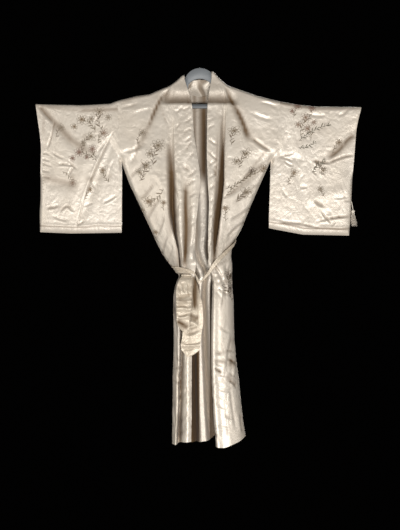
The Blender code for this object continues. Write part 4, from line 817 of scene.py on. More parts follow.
def row_heights(top, foot):
    """Heights of the rows of a column, close together at the shoulder and even below."""
    coarse = np.array([top + (BAR_TOP_Z - top) * s for s in SHOULDER_SHARES]
                      + BODY_HEIGHTS + [foot])
    nominal = np.array(SHOULDER_NOMINAL + BODY_HEIGHTS + [HEM_Z])
    count = int((nominal[0] - nominal[-1]) / ROW_STEP)
    fine = np.linspace(nominal[0], nominal[-1], count)
    fine = np.concatenate([[-60, -60.6, -61.5, -62.7, -64.2, -66.5, -69, -72], fine[3:]])
    return np.interp(-fine, -nominal, coarse)


def fold_column(fold, top, foot):
    """x, relief and height of one fold of a front, from the shoulder to the hem."""
    name, upper_x, upper_relief, lower_x, lower_relief = fold
    stations = UPPER_STATIONS + LOWER_STATIONS
    z = row_heights(top, foot)
    x = smooth_curve(stations, upper_x + lower_x, z)
    relief = smooth_curve(stations, upper_relief + lower_relief, z)
    return stacked(x, relief, z)


def span_counts(columns):
    """Steps across each fold, from its mean width and depth."""
    width = np.linalg.norm(np.diff(columns[..., :2], axis=0), axis=-1).mean(axis=1)
    return np.clip(np.ceil(width / FOLD_CELL), 4, 26).astype(int)


def across_the_folds(columns):
    """x, relief and height of the whole panel, and the grid column of each fold."""
    columns = np.array(columns)
    counts = span_counts(columns)
    x, relief, z = rounded_line(columns, counts).transpose(2, 1, 0)
    return x, relief, z, np.concatenate([[0], np.cumsum(counts)])


def front_panel(folds, side_sign, hem):
    """Points, fold depth and fold columns of a whole front, from free edge to side."""
    columns = []
    for fold in folds:
        foot = float(straight(hem, fold[3][-1]))
        columns.append(fold_column(fold, float(shoulder_height(fold[1][0])), foot))
    name, edge_upper, upper_relief, edge_lower, lower_relief = folds[-1]
    end_fold = ("side", 1.0, 1.0, 1.0, 0, 0, 0)
    for name, at_shoulder, at_waist, at_hem, chest, waist, skirt in OUTER_FOLDS + [end_fold]:
        side_top = float(garment_side(SIDE_TOP[side_sign], side_sign))
        top_x = edge_upper[0] * (1 - at_shoulder) + side_top * at_shoulder
        foot_x = edge_lower[-1] * (1 - at_hem) + garment_side(HEM_Z, side_sign) * at_hem
        foot = float(straight(hem, foot_x))
        z = row_heights(float(shoulder_height(top_x)), foot)
        share = smooth_curve([0, -200, -700, -800, HEM_Z],
                             [at_shoulder, at_shoulder, at_waist, at_waist, at_hem], z)
        edge_x = smooth_curve(UPPER_STATIONS + LOWER_STATIONS, edge_upper + edge_lower, z)
        x = edge_x * (1 - share) + garment_side(z, side_sign) * share
        relief = smooth_curve([0, -130, -280, -420, -700, -800, HEM_Z],
                              [0, 0, chest, chest, waist, waist, skirt], z)
        columns.append(stacked(x, relief, z))
    x, relief, z, marks = across_the_folds(columns)
    z = drawn_up(z, shoulder_height(x[0]))
    y = round_the_shoulder(envelope(x, z, -1) + relief, z[0] - z)
    return stacked(x, y, z), relief, marks


def back_top(x):
    """Depth and height of the back's upper edge, and where it is the neckline."""
    inside = (x > NECKLINE[0][0] + 0.1) & (x < NECKLINE[-1][0] - 0.1)
    top_y = np.where(inside, curve(NECKLINE, 1, x), RIDGE_Y)
    return top_y, np.where(inside, curve(NECKLINE, 2, x), shoulder_height(x)), inside


def from_neck_corner(x):
    """How far x lies inside the nearer corner of the neckline."""
    return np.minimum(x - NECKLINE[0][0], NECKLINE[-1][0] - x)


def back_panel():
    """Points, fold depth and fold columns of the whole back, from left to right."""
    names = [("left side", 0.0, 0.0, 0.0, 0, 0, 0)] + BACK_FOLDS
    names = names + [("right side", 1.0, 1.0, 1.0, 0, 0, 0)]
    columns = []
    for name, at_shoulder, at_waist, at_hem, chest, waist, skirt in names:
        top_x = garment_side(SIDE_TOP[-1], -1) * (1 - at_shoulder)
        top_x = float(top_x + garment_side(SIDE_TOP[1], 1) * at_shoulder)
        top = float(back_top(top_x)[1])
        foot_x = garment_side(HEM_Z, -1) * (1 - at_hem) + garment_side(HEM_Z, 1) * at_hem
        foot = float(straight(BACK_HEM, foot_x))
        z = row_heights(top, foot)
        share = smooth_curve([0, -300, -700, -820, HEM_Z],
                             [at_shoulder, at_shoulder, at_waist, at_waist, at_hem], z)
        left = garment_side(np.minimum(z, SIDE_TOP[-1]), -1)
        x = left * (1 - share) + garment_side(np.minimum(z, SIDE_TOP[1]), 1) * share
        relief = smooth_curve([0, -150, -350, -700, -790, -1000, HEM_Z],
                              [0, 0, chest, waist * 0.8, waist, skirt * 0.9, skirt], z)
        columns.append(stacked(x, relief, z))
    x, relief, z, marks = across_the_folds(columns)
    crest = np.maximum(relief.max(axis=1, keepdims=True), 1.0)
    broad = crest * (1 - (1 - np.clip(relief / crest, 0, 1)) ** 3)
    relief = relief + (broad - relief) * plateau(x, -32, -14, 36, 52)
    top_y, top_z, inside = back_top(x[0])
    z = drawn_up(z, top_z)
    y = envelope(x, z, 1) - relief
    at_shoulder = round_the_shoulder(y, z[0] - z)
    reach = RIDGE_ROUND + (SHOULDER_REACH - RIDGE_ROUND) * ease(0, 40, from_neck_corner(x[0]))
    at_neck = y + (top_y - y) * (1 - ease(0, reach, z[0] - z))
    return stacked(x, np.where(inside, at_neck, at_shoulder), z), relief, marks


def evenly_along(line, count):
    """Points at even steps of length along a line of points."""
    place = np.concatenate([[0], np.cumsum(np.linalg.norm(np.diff(line, axis=0), axis=-1))])
    wanted = np.linspace(0, place[-1], count)
    return stacked(*(np.interp(wanted, place, line[:, k]) for k in range(3)))


def nape_band():
    """Points of the collar round the nape, between its free edge and the back's neckline."""
    back, relief, marks = back_panel()
    rows = 72
    seam = evenly_along(back[0, marks[BACK_NECK_FOLD]:marks[BACK_NECK_END_FOLD] + 1], rows)
    edge = np.array(NAPE_EDGE, dtype=float)
    edge = evenly_along(rounded_line(edge, [6] * (len(edge) - 1)), rows)
    across = np.linspace(0, 1, 18)[None, :, None]
    grid = edge[:, None] + (seam[:, None] - edge[:, None]) * across
    place = np.linspace(0, 1, rows)[:, None]
    grid[..., 1] += NAPE_BELLY * np.sin(np.pi * place) * np.sin(np.pi * across[..., 0])
    return grid


def sleeve_inner_edge(z, side_sign, foot_x):
    """x of the sleeve's inner edge: along the armhole, then free down to its foot."""
    along = garment_side(np.maximum(z, UNDERARM_Z), side_sign)
    free = ease(UNDERARM_Z, UNDERARM_Z - 250, z)
    return along + (foot_x - along) * free


def drawn_in(distance, radius):
    """Share of the full depth at a distance from a seam: a quarter of a circle."""
    t = np.clip(distance / radius, 0.0, 1.0)
    return np.sqrt(1 - (1 - t) ** 2)


def sleeve_layer(cuff, side_sign, inner_foot, foot, creases, side):
    """Grid of one layer of a sleeve, columns from the cuff to the body.

    The layer stands off the sleeve's middle plane.  It is drawn in to that plane in a
    round at the fold on top and at the seams, and meets the body at the armhole.
    """
    share = np.linspace(0, 1, SLEEVE_COLUMNS)[None, :]
    down = np.linspace(0, 1, SLEEVE_ROWS)[:, None] ** 1.25
    low = straight(foot, share)
    outer_top = cuff[0][1]
    inner_top = garment_side(SIDE_TOP[side_sign], side_sign)
    top_x = outer_top + (inner_top - outer_top) * share
    high = shoulder_height(top_x)
    z = high + (low - high) * down
    outer = curve(cuff, 1, z)
    edge = sleeve_inner_edge(z, side_sign, inner_foot)
    x = outer + (edge - outer) * share
    from_cuff = np.abs(x - outer)
    below_cuff = ease(CUFF_OPENING_FOOT + 40, CUFF_OPENING_FOOT - 10, z)
    cuff_round = 1 - below_cuff * (1 - drawn_in(from_cuff, SEAM_ROUND))
    mouth = 1 - 0.35 * (1 - below_cuff) * (1 - ease(0, 70, from_cuff))
    half = SLEEVE_HALF_DEPTH * drawn_in(high - z, FOLD_ROUND) * cuff_round * mouth
    half = half * drawn_in(z - low, SEAM_ROUND)
    half = np.maximum(half, np.where(high - z < 0.01, 0.0, 0.5))
    y = SLEEVE_MIDDLE_Y + side * half
    soft = ease(0, FOLD_ROUND, high - z) * ease(0, 40, z - low)
    y = y - side * 0.55 * broad_creases(x, z, creases) * soft
    from_body = np.abs(x - edge)
    at_side = garment_side(z, side_sign)
    body_y = round_the_shoulder(envelope(at_side, z, side), high - z)
    reach = 14 + 41 * ease(UNDERARM_Z + 5, UNDERARM_Z + 110, z)
    near = (1 - ease(0, reach, from_body)) * ease(UNDERARM_Z - 50, UNDERARM_Z + 10, z)
    y = y + (body_y - y) * near
    return stacked(x, y, z)


def broad_creases(x, z, creases, join=np.add):
    """Wide soft bands, each a bell in section along a straight line: troughs, or shade.

    Troughs add up where they cross; shade takes the darker of the two.
    """
    total = np.zeros(np.shape(x))
    for x0, z0, x1, z1, width, depth in creases:
        run = np.array([x1 - x0, z1 - z0])
        length = np.hypot(*run)
        along = ((x - x0) * run[0] + (z - z0) * run[1]) / length**2
        away = ((x - x0) * run[1] - (z - z0) * run[0]) / length
        fade = plateau(along, -0.12, 0.12, 0.85, 1.15)
        total = join(total, depth * bell(away, 0, width) * fade)
    return total


def run_along(grid, axis):
    """Unit direction along one axis of a grid, halfway between the two steps."""
    step = unit(np.diff(grid, axis=axis))
    before = np.concatenate([np.take(step, [0], axis=axis), step], axis=axis)
    return before + np.concatenate([step, np.take(step, [-1], axis=axis)], axis=axis)


def grid_normals(grid, side):
    """Unit normals of a grid, turned so that their y has the given sign on the whole."""
    normal = unit(np.cross(run_along(grid, 0), run_along(grid, 1)))
    return -normal if normal[..., 1].sum() * side < 0 else normal


def path_lengths(grid):
    """Distance across and down the cloth at each point, in metres, for its weave."""
    across = np.linalg.norm(np.diff(grid, axis=1), axis=-1).mean(axis=0)
    down = np.linalg.norm(np.diff(grid, axis=0), axis=-1).mean(axis=1)
    u = np.concatenate([[0], np.cumsum(across)]) * MM
    v = -np.concatenate([[0], np.cumsum(down)]) * MM
    return stacked(u[None, :], v[:, None])


def numbered(*shape):
    """The numbers of the points of a grid."""
    return np.arange(math.prod(shape)).reshape(shape)


def face_direction(points, face):
    """The direction that a face looks in, by the turn of its first three corners."""
    a, b, c = (points[face[k]] for k in range(3))
    return np.cross(b - a, c - a)


def quads(a, b, c, d):
    """Faces from four arrays of point numbers."""
    return np.stack([a.ravel(), b.ravel(), c.ravel(), d.ravel()], axis=-1)


def cloth_mesh(name, grid, normal, depth=None, thickness=None, ring=False, inside=None):
    """A closed thin wall round a grid of points, with its weave map and painted fold shade.

    The outer points are the grid moved out by half the thickness, the inner ones the
    grid moved in by it, and strips of faces close the edges.  In a ring the last row
    joins the first.  The inner face has a shade of its own where one is given.
    """
    thickness = settings().thickness / MM if thickness is None else thickness
    rows, columns = grid.shape[:2]
    points = np.concatenate([(grid + normal * thickness / 2).reshape(-1, 3),
                             (grid - normal * thickness / 2).reshape(-1, 3)])
    index = numbered(rows, columns)
    here = index if ring else index[:-1]
    there = np.roll(index, -1, axis=0) if ring else index[1:]
    back = rows * columns
    faces = [
        quads(here[:, :-1], there[:, :-1], there[:, 1:], here[:, 1:]),
        quads(here[:, :-1] + back, here[:, 1:] + back, there[:, 1:] + back,
              there[:, :-1] + back),
        quads(there[:, 0], here[:, 0], here[:, 0] + back, there[:, 0] + back),
        quads(here[:, -1], there[:, -1], there[:, -1] + back, here[:, -1] + back),
    ]
    if not ring:
        faces.append(quads(index[0, :-1], index[0, 1:], index[0, 1:] + back,
                           index[0, :-1] + back))
        faces.append(quads(index[-1, 1:], index[-1, :-1], index[-1, :-1] + back,
                           index[-1, 1:] + back))
    faces = np.concatenate(faces)
    half = (rows if ring else rows - 1) * (columns - 1)
    outward = normal.reshape(-1, 3)[faces[:half, 0]]
    if (face_direction(points, faces[:half].T) * outward).sum() < 0:
        faces = faces[:, ::-1]
    uv = np.tile(path_lengths(grid).reshape(-1, 2), (2, 1))
    # depth and inside are the painted shade of the outer and of the inner face
    depth = np.zeros((rows, columns)) if depth is None else depth
    inside = depth if inside is None else inside
    piece = make_piece(name, points, faces, uv, np.concatenate([depth.ravel(), inside.ravel()]))
    piece.data.set_sharp_from_angle(angle=math.radians(70))
    return piece


def make_piece(name, points, faces, uv=None, depth=None, colour=None):
    """A mesh object from points in millimetres, shaded smooth, at the origin."""
    mesh = bpy.data.meshes.new(name)
    mesh.from_pydata(np.asarray(points, dtype=float) * MM, [], faces)
    mesh.shade_smooth()
    if uv is not None:
        corner = np.zeros(len(mesh.loops), dtype=np.int32)
        mesh.loops.foreach_get("vertex_index", corner)
        layer = mesh.uv_layers.new(name="weave")
        layer.data.foreach_set("uv", uv[corner].astype(np.float32).ravel())
    # depth is a painted shade from 0 to 1, stored at each point
    if depth is not None:
        mark = mesh.attributes.new("painted_fold_shade", "FLOAT", "POINT")
        mark.data.foreach_set("value", depth.astype(np.float32).ravel())
    if colour is not None:
        mark = mesh.attributes.new("thread", "FLOAT_COLOR", "POINT")
        mark.data.foreach_set("color", colour.astype(np.float32).ravel())
    piece = bpy.data.objects.new(name, mesh)
    bpy.context.scene.collection.objects.link(piece)
    return piece


def dress(piece, material, slot, *nodes):
    """Give a finished piece its material and tie it to the model it stands for."""
    piece.data.materials.clear()
    piece.data.materials.append(material)
    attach(piece, "root")
    if nodes:
        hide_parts(*nodes)
    return piece


def settings():
    """The sizes and colours that the panel shows."""
    return bpy.context.scene.kimono_settings


def stage_settings():
    """The lights, floor and camera values that the panel shows."""
    return bpy.context.scene.kimono_stage


def worn_silk(grid, side, creases, seed, crumple_scale=1.0, room=1.0):
    """The panel with its creases and wrinkles sunk in along its own normals, and painted shade in
    their troughs.
    """
    normal = grid_normals(grid, side)
    x, z = grid[..., 0], grid[..., 2]
    strength = settings().crease_strength
    relief = crease_relief(x, z, creases) * strength
    relief = relief + crumple(x, z, seed) * settings().crumple_strength * crumple_scale
    relief = relief * ease(0, 14, z[0] - z) * room
    grid = grid - normal * relief[..., None]
    return grid, grid_normals(grid, side), 0.5 * ease(0.8, 5.0, relief)


def shader_group(name, inputs, outputs):
    """An empty shader node group with its sockets, and its input and output nodes."""
    group = bpy.data.node_groups.new(name, "ShaderNodeTree")
    for label, kind, value in inputs:
        socket = group.interface.new_socket(label, in_out="INPUT", socket_type=kind)
        if value is not None:
            socket.default_value = value
    for label, kind in outputs:
        group.interface.new_socket(label, in_out="OUTPUT", socket_type=kind)
    return group, group.nodes.new("NodeGroupInput"), group.nodes.new("NodeGroupOutput")


def feed(tree, slot, value):
    """Link a node's input to another socket, or set it to a colour or a plain value."""
    if isinstance(value, bpy.types.NodeSocket):
        tree.links.new(value, slot)
    elif slot.type == "RGBA":
        slot.default_value = (*value, 1.0)
    else:
        slot.default_value = value


def set_inputs(tree, node, **values):
    """Feed a node's inputs by name, with underscores for spaces."""
    for name, value in values.items():
        feed(tree, node.inputs[name.replace("_", " ")], value)
    return node


def add_node(tree, kind, **values):
    """A new shader node with its inputs fed."""
    return set_inputs(tree, tree.nodes.new("ShaderNode" + kind), **values)


def weave_map(tree):
    """The cloth's own coordinates in metres."""
    node = add_node(tree, "UVMap")
    node.uv_map = "weave"
    return node.outputs[0]


def point_value(tree, name, output):
    """A value that the mesh carries at its points."""
    node = add_node(tree, "Attribute")
    node.attribute_name = name
    return node.outputs[output]


def math_node(tree, operation, first, second):
    """A Math node fed by sockets or plain numbers."""
    node = add_node(tree, "Math")
    node.operation = operation
    feed(tree, node.inputs[0], first)
    feed(tree, node.inputs[1], second)
    return node.outputs[0]


def satin_group():
    """Satin weave and cloudy wear: a height for the bump and masks for colour and gloss.

    The weave is fine bands along the warp broken by slow noise; the wrinkles are stretched
    noise; the clouding is wide soft noise.
    """
    known = bpy.data.node_groups.get("satin_surface")
    if known:
        return known
    group, source, sink = shader_group(
        "satin_surface",
        [("Thread Size", "NodeSocketFloat", 0.0006), ("Wrinkle Size", "NodeSocketFloat", 0.03)],
        [("Height", "NodeSocketFloat"), ("Clouds", "NodeSocketFloat"),
         ("Slubs", "NodeSocketFloat")],
    )
    place = add_node(group, "TexCoord").outputs["Object"]
    flat = weave_map(group)
    warp = add_node(group, "TexWave", Vector=flat, Distortion=1.5, Detail=1.0,
                    Scale=math_node(group, "DIVIDE", 0.32, source.outputs["Thread Size"]))
    wrinkle = add_node(group, "TexNoise", Vector=place, Detail=3.0, Distortion=1.2,
                       Scale=math_node(group, "DIVIDE", 1.0, source.outputs["Wrinkle Size"]))
    clouds = add_node(group, "TexNoise", Vector=place, Scale=7.0, Detail=4.0)
    stretch = add_node(group, "Mapping", Vector=flat, Scale=(60.0, 900.0, 1.0))
    slubs = add_node(group, "TexNoise", Vector=stretch.outputs[0], Scale=1.0)
    weave = math_node(group, "MULTIPLY", warp.outputs["Fac"], 0.03)
    set_inputs(group, sink, Height=math_node(group, "ADD", weave, wrinkle.outputs["Fac"]),
               Clouds=clouds.outputs["Fac"], Slubs=slubs.outputs["Fac"])
    return group


def mix_colour(tree, factor, first, second, blend="MIX"):
    """A colour Mix node fed by sockets or plain values."""
    node = add_node(tree, "Mix")
    node.data_type = "RGBA"
    node.blend_type = blend
    for number, value in ((0, factor), (6, first), (7, second)):
        feed(tree, node.inputs[number], value)
    return node.outputs[2]


def bump_normal(tree, height, strength, distance):
    """The normal bent by a height."""
    node = add_node(tree, "Bump", Height=height, Strength=strength, Distance=distance)
    return node.outputs[0]


def darker(colour, shares):
    """A colour with each of its parts cut to a share."""
    return tuple(part * share for part, share in zip(colour, shares))


def new_material(name):
    """A material with its node tree and Principled shader."""
    material = bpy.data.materials.new(name)
    material.use_nodes = True
    return material, material.node_tree, material.node_tree.nodes["Principled BSDF"]


def silk_material(name, colour, roughness, wrinkle=0.03, bump=0.35):
    """Ivory satin: clouded colour, a painted warm brown shade deep in the folds, soft uneven
    gloss.
    """
    known = bpy.data.materials.get(name)
    if known:
        return known
    material, tree, shader = new_material(name)
    surface = tree.nodes.new("ShaderNodeGroup")
    surface.node_tree = satin_group()
    set_inputs(tree, surface, Wrinkle_Size=wrinkle)
    # Painted shade: a value at each point turns the colour to a warm brown and dulls the gloss in
    # folds, recesses and other shaded places
    deep = point_value(tree, "painted_fold_shade", "Fac")
    colour = tuple(colour)
    clouded = mix_colour(tree, surface.outputs["Clouds"], colour,
                         darker(colour, (0.86, 0.82, 0.76)))
    gloss = math_node(tree, "MULTIPLY", surface.outputs["Slubs"], 0.16)
    gloss = math_node(tree, "ADD", gloss, roughness - 0.08)
    dulled = math_node(tree, "MULTIPLY", deep, 0.4)
    set_inputs(tree, shader, Sheen_Weight=0.12, Sheen_Roughness=0.35, Metallic=0.22,
               Specular_IOR_Level=0.7,
               Base_Color=mix_colour(tree, deep, clouded, tuple(settings().painted_shade_colour)),
               Roughness=math_node(tree, "ADD", gloss, dulled),
               Normal=bump_normal(tree, surface.outputs["Height"], bump, 0.004))
    return material


def thread_material(name, roughness=0.45):
    """Silk thread whose colour comes from each stitch, with fine bands along it."""
    known = bpy.data.materials.get(name)
    if known:
        return known
    material, tree, shader = new_material(name)
    colour = point_value(tree, "thread", "Color")
    bands = add_node(tree, "TexWave", Vector=weave_map(tree), Scale=700.0, Distortion=2.0)
    dark = mix_colour(tree, 1.0, colour, (0.7, 0.68, 0.66), "MULTIPLY")
    set_inputs(tree, shader, Roughness=roughness, Sheen_Weight=0.2,
               Base_Color=mix_colour(tree, bands.outputs["Fac"], dark, colour),
               Normal=bump_normal(tree, bands.outputs["Fac"], 0.4, 0.0006))
    return material


def plastic_material():
    """Grey moulded plastic: faint mottling, scuffed gloss and a fine grain.

    The bar lies deep in the collar and gets a painted shade: it is shown at half the brightness.
    """
    known = bpy.data.materials.get("hanger_plastic_look")
    if known:
        return known
    material, tree, shader = new_material("hanger_plastic_look")
    place = add_node(tree, "TexCoord").outputs["Object"]
    speck = add_node(tree, "TexNoise", Vector=place, Scale=45.0, Detail=6.0).outputs["Fac"]
    height = add_node(tree, "SeparateXYZ", Vector=place).outputs["Z"]
    # Painted shade: below the bar's top the grey is halved
    painted_bar_shade = math_node(tree, "LESS_THAN", height, BAR_TOP_Z * MM + 0.002)
    base = tuple(settings().hanger_colour)
    mottled = mix_colour(tree, speck, darker(base, (0.8, 0.8, 0.8)), base)
    rough = math_node(tree, "MULTIPLY", speck, 0.2)
    set_inputs(tree, shader, Roughness=math_node(tree, "ADD", rough, 0.38),
               Base_Color=mix_colour(tree, painted_bar_shade, mottled, darker(base, (0.5, 0.5, 0.5))),
               Normal=bump_normal(tree, speck, 0.15, 0.0005))
    return material


def body_silk():
    """The satin of the body and collar."""
    return silk_material("body_satin", settings().silk_colour, settings().silk_roughness)


def cut_piece(name, panel, rows, columns, slot):
    """One sewn piece cut out of a panel's grid, made as a thin closed wall of cloth."""
    # depth and inside are the painted shade of the outer and of the inner face
    grid, normal, depth, inside = (values[rows, columns] for values in panel)
    piece = cloth_mesh(name + "_cloth", grid, normal, depth, inside=inside)
    dress(piece, body_silk(), slot, name)


def bar_ridge(x, z):
    """How far the fronts stand out at the hanger's bar.

    The ridge over the bar is sharp; above it the cloth sinks back like a shelf, deepest a
    little above the bar and gone at the shoulder, and below it the ridge dies away softly.
    """
    above = z - BAR_TOP_Z
    shelf = (1 - np.exp(-np.maximum(above, 0) / 6.0)) * (1 - ease(16, 60, above))
    ridge = np.where(above > 0, 1.0, np.exp(np.minimum(above, 0) / 14.0))
    ridge = ridge * (1 - ease(0, 60, above))
    return plateau(x, *BAR_REACH) * (BAR_RIDGE * ridge - SHELF_DEPTH * shelf)


def front_surface(label):
    """Points, normals, painted shade and fold columns of one whole front."""
    sides = {
        "left": (LEFT_FRONT_FOLDS, -1, LEFT_HEM, LEFT_BODY_CREASES, 21),
        "right": (RIGHT_FRONT_FOLDS, 1, RIGHT_HEM, RIGHT_BODY_CREASES, 47),
    }
    folds, side, hem, creases, seed = sides[label]
    grid, relief, marks = front_panel(folds, side, hem)
    x, z = grid[..., 0], grid[..., 2]
    spot = np.arange(grid.shape[1])[None, :]
    grid[..., 1] -= bar_ridge(x, z)
    if side < 0:
        grid[..., 1] -= SWELL_DEPTH * plateau(z, *SWELL_Z) * plateau(x, *SWELL_X)
    else:
        grid[..., 1] -= relief * 0.75 * ease(-790, -860, z) * ease(marks[2], marks[3], spot)
    seam = marks[4 if side < 0 else 3]
    on_collar = 1 - ease(seam * 0.8, seam * 1.25, spot)
    lively = FRONT_CRUMPLE + COLLAR_CRUMPLE[label] * on_collar
    lively = lively + SKIRT_CRUMPLE * ease(-1000, -1080, z)
    grid, normal, painted_crease_shade = worn_silk(grid, -1, creases, seed, lively)
    # Painted shade: warm brown in the deep folds (weaker on the skirt), in the crease troughs, on
    # the shelf above the bar and along the shade strokes
    fold = ease(3, 30, relief) * (1 - 0.75 * ease(-760, -860, z))
    shelf = SHELF_SHADE * plateau(z - BAR_TOP_Z, 0, 4, 6, 60)
    shelf = shelf * (1 - ease(100, 145, np.abs(x + 12)))
    shade = fold + painted_crease_shade + shelf + broad_creases(x, z, FRONT_SHADE, np.maximum)
    return grid, normal, np.clip(shade, 0, 1), marks


def back_surface():
    """Points, normals, painted shade of the outside and of the inside, and fold columns of the
    whole back.
    """
    grid, relief, marks = back_panel()
    x, z = grid[..., 0], grid[..., 2]
    calm = 1 - 0.9 * bell(x, CALM_X, CALM_WIDTH, 4)
    grid, normal, painted_crease_shade = worn_silk(grid, 1, BACK_BODY_CREASES, 83, 1.0, calm)
    # Painted shade on the outside: warm brown in the deep folds and in the crease troughs
    outside = np.clip(ease(10, 50, relief) * 0.6 + painted_crease_shade, 0, 1)
    # Painted shade on the inside, seen through the opening of the fronts: dark where the cloth
    # lies back, light on its crests, dark streaks for the pleats' shade down the chest with a
    # lighter calm middle, and dark and light bands over the skirt
    low = 1 - ease(1, 15, relief)
    pleat_shade_streaks = 0.5 + 0.5 * np.cos((x - 6) / 3.4)
    middle = bell(x, 9, 12) * (0.75 + 0.25 * ease(-110, -150, z))
    upper = 0.42 + 0.75 * middle - 0.16 * pleat_shade_streaks + 0.3 * bell(x, -24, 9)
    low = low * (1 - 0.9 * bell(x, 2, 17, 4))
    skirt = 0.1 + 0.9 * (1 - ease(-9, -3, x)) + 0.75 * ease(31, 36, x)
    low = low + (skirt - low) * ease(*FOLDS_TO_SKIRT, z)
    inside = upper + (low - upper) * ease(*CHEST_TO_FOLDS, z)
    return grid, normal, outside, np.clip(inside, 0, 1), marks


def sleeve_surface(label):
    """Points and normals of a sleeve: the back layer from its foot up, then the front."""
    sides = {
        "left": (-1, LEFT_CUFF, LEFT_INNER_FOOT, LEFT_SLEEVE_FOOT, LEFT_SLEEVE_CREASES,
                 LEFT_SLEEVE_FINE, 5),
        "right": (1, RIGHT_CUFF, RIGHT_INNER_FOOT, RIGHT_SLEEVE_FOOT,
                  RIGHT_SLEEVE_CREASES, RIGHT_SLEEVE_FINE, 61),
    }
    sign, cuff, inner, foot, broad, fine, seed = sides[label]
    outer_x, inner_x = cuff[0][1], garment_side(UNDERARM_Z, sign)
    top_z, low_z = cuff[0][0], foot[0][1]

    def spread(table):
        return [(outer_x + (inner_x - outer_x) * row[0], top_z + (low_z - top_z) * row[1],
                 outer_x + (inner_x - outer_x) * row[2], top_z + (low_z - top_z) * row[3],
                 *row[4:]) for row in table]

    layers = []
    shades = []
    for side, soft, small in ((-1, broad, fine),
                              (1, spread(BACK_SLEEVE_CREASES), spread(HIDDEN_SLEEVE_FINE))):
        layer = sleeve_layer(cuff, sign, inner, foot, soft, side)
        room = ease(0.5, 8, np.abs(layer[..., 1] - SLEEVE_MIDDLE_Y))
        dark = broad_creases(layer[..., 0], layer[..., 2], SLEEVE_SHADE, np.maximum)
        layer, normal, painted_crease_shade = worn_silk(layer, side, small, seed + side,
                                           SLEEVE_CRUMPLE, room)
        above = layer[..., 2] - layer[-1:, :, 2]
        line = SLEEVE_HEM + 2.5 * smooth_noise(layer[..., 0], 0 * above, 40, 1, seed)
        layer[..., 1] += side * HEM_STEP * bell(above, line, HEM_WIDTH) * room
        # Painted shade just under the hem's fold, added to the painted shade of the crease troughs
        # and, on the front layer, of the shade strokes
        hem = 0.5 * bell(above, line - 5, HEM_WIDTH)
        layers.append(layer)
        shades.append(np.clip(painted_crease_shade + (dark if side < 0 else 0) + hem, 0, 1))
    front, back = layers
    grid = np.concatenate([back[::-1], front[1:]])
    shade = np.concatenate([shades[1][::-1], shades[0][1:]])
    normal = unit(np.cross(run_along(grid, 0), run_along(grid, 1)))
    if normal[:SLEEVE_ROWS - 8, :, 1].sum() < 0:
        normal = -normal
    return grid, normal, shade


class KIMONO_OT_fronts(bpy.types.Operator):
    """Build both fronts, their collar bands and the lower overlaps"""
    bl_idname = "kimono.fronts"
    bl_label = "Fronts and Collar"

    def execute(self, context):
        for label, seam_fold in (("left", 4), ("right", 3)):
            grid, normal, depth, marks = front_surface(label)
            # The inside of each front gets an even painted shade
            panel = (grid, normal, depth, depth * 0 + 0.55)
            seam = marks[seam_fold]
            waist = int(np.argmin(np.abs(grid[:, seam, 2] - WAIST_Z)))
            cut_piece("front_" + label, panel, slice(None), slice(seam, None), "silk_body")
            cut_piece("collar_" + label, panel, slice(None, waist + 1), slice(None, seam + 1),
                      "silk_collar")
            cut_piece("overlap_" + label, panel, slice(waist, None), slice(None, seam + 1),
                      "silk_body")
        return {"FINISHED"}


class KIMONO_OT_back(bpy.types.Operator):
    """Build the two halves of the back and the collar round the nape"""
    bl_idname = "kimono.back"
    bl_label = "Back and Nape Collar"

    def execute(self, context):
        *panel, marks = back_surface()
        middle = marks[BACK_MIDDLE_FOLD]
        cut_piece("back_left", panel, slice(None), slice(None, middle + 1), "silk_body")
        cut_piece("back_right", panel, slice(None), slice(middle, None), "silk_body")
        band = nape_band()
        place = np.linspace(0, 1, len(band))[:, None]
        free = np.linspace(1, 0, band.shape[1])[None, :]
        uneven = 0.8 + 0.2 * np.sin(place * 21) * np.sin(place * 9 + 1)
        band[..., 2] += 12 * np.sin(np.pi * place) ** 0.8 * free * uneven
        puffs = 7 * crumple(band[..., 0] * 1.3, band[..., 2] * 1.3, 31)
        fade = np.sin(np.pi * place) ** 0.5
        band = band - grid_normals(band, 1) * (puffs * fade * 0.8)[..., None]
        shade = 0.12 + 0.6 * ease(0.5, 3.5, puffs)
        piece = cloth_mesh("collar_nape_cloth", band, grid_normals(band, 1), shade)
        dress(piece, body_silk(), "silk_collar", "collar_nape")
        return {"FINISHED"}


class KIMONO_OT_sleeves(bpy.types.Operator):
    """Build both sleeves, each folded on top and open at the cuff"""
    bl_idname = "kimono.sleeves"
    bl_label = "Sleeves"

    def execute(self, context):
        for label in ("left", "right"):
            grid, normal, shade = sleeve_surface(label)
            piece = cloth_mesh(f"sleeve_{label}_cloth", grid, normal, shade)
            dress(piece, silk_material("sleeve_satin", settings().silk_colour,
                                       settings().silk_roughness), "silk_sleeve",
                  f"sleeve_{label}_front", f"sleeve_{label}_back")
        return {"FINISHED"}


def sash_points(across, z, side, stand):
    """Points on the envelope at a place across it, pushed out square to the oval."""
    left, right = garment_side(z, -1), garment_side(z, 1)
    half = (right - left) / 2
    depth = np.where(side < 0, curve(ENVELOPE, 3, z), curve(ENVELOPE, 4, z))
    rise = (1 - np.clip(np.abs(across), 0, 1) ** SECTION_POWER) ** (1 / SECTION_POWER)
    out_x = np.sign(across) * np.abs(across) ** (SECTION_POWER - 1) / half
    out_y = side * rise ** (SECTION_POWER - 1) / depth
    length = np.hypot(out_x, out_y)
    x = (left + right) / 2 + across * half + out_x / length * stand
    y = MIDDLE_Y + side * depth * rise + out_y / length * stand
    return stacked(x, y, z)


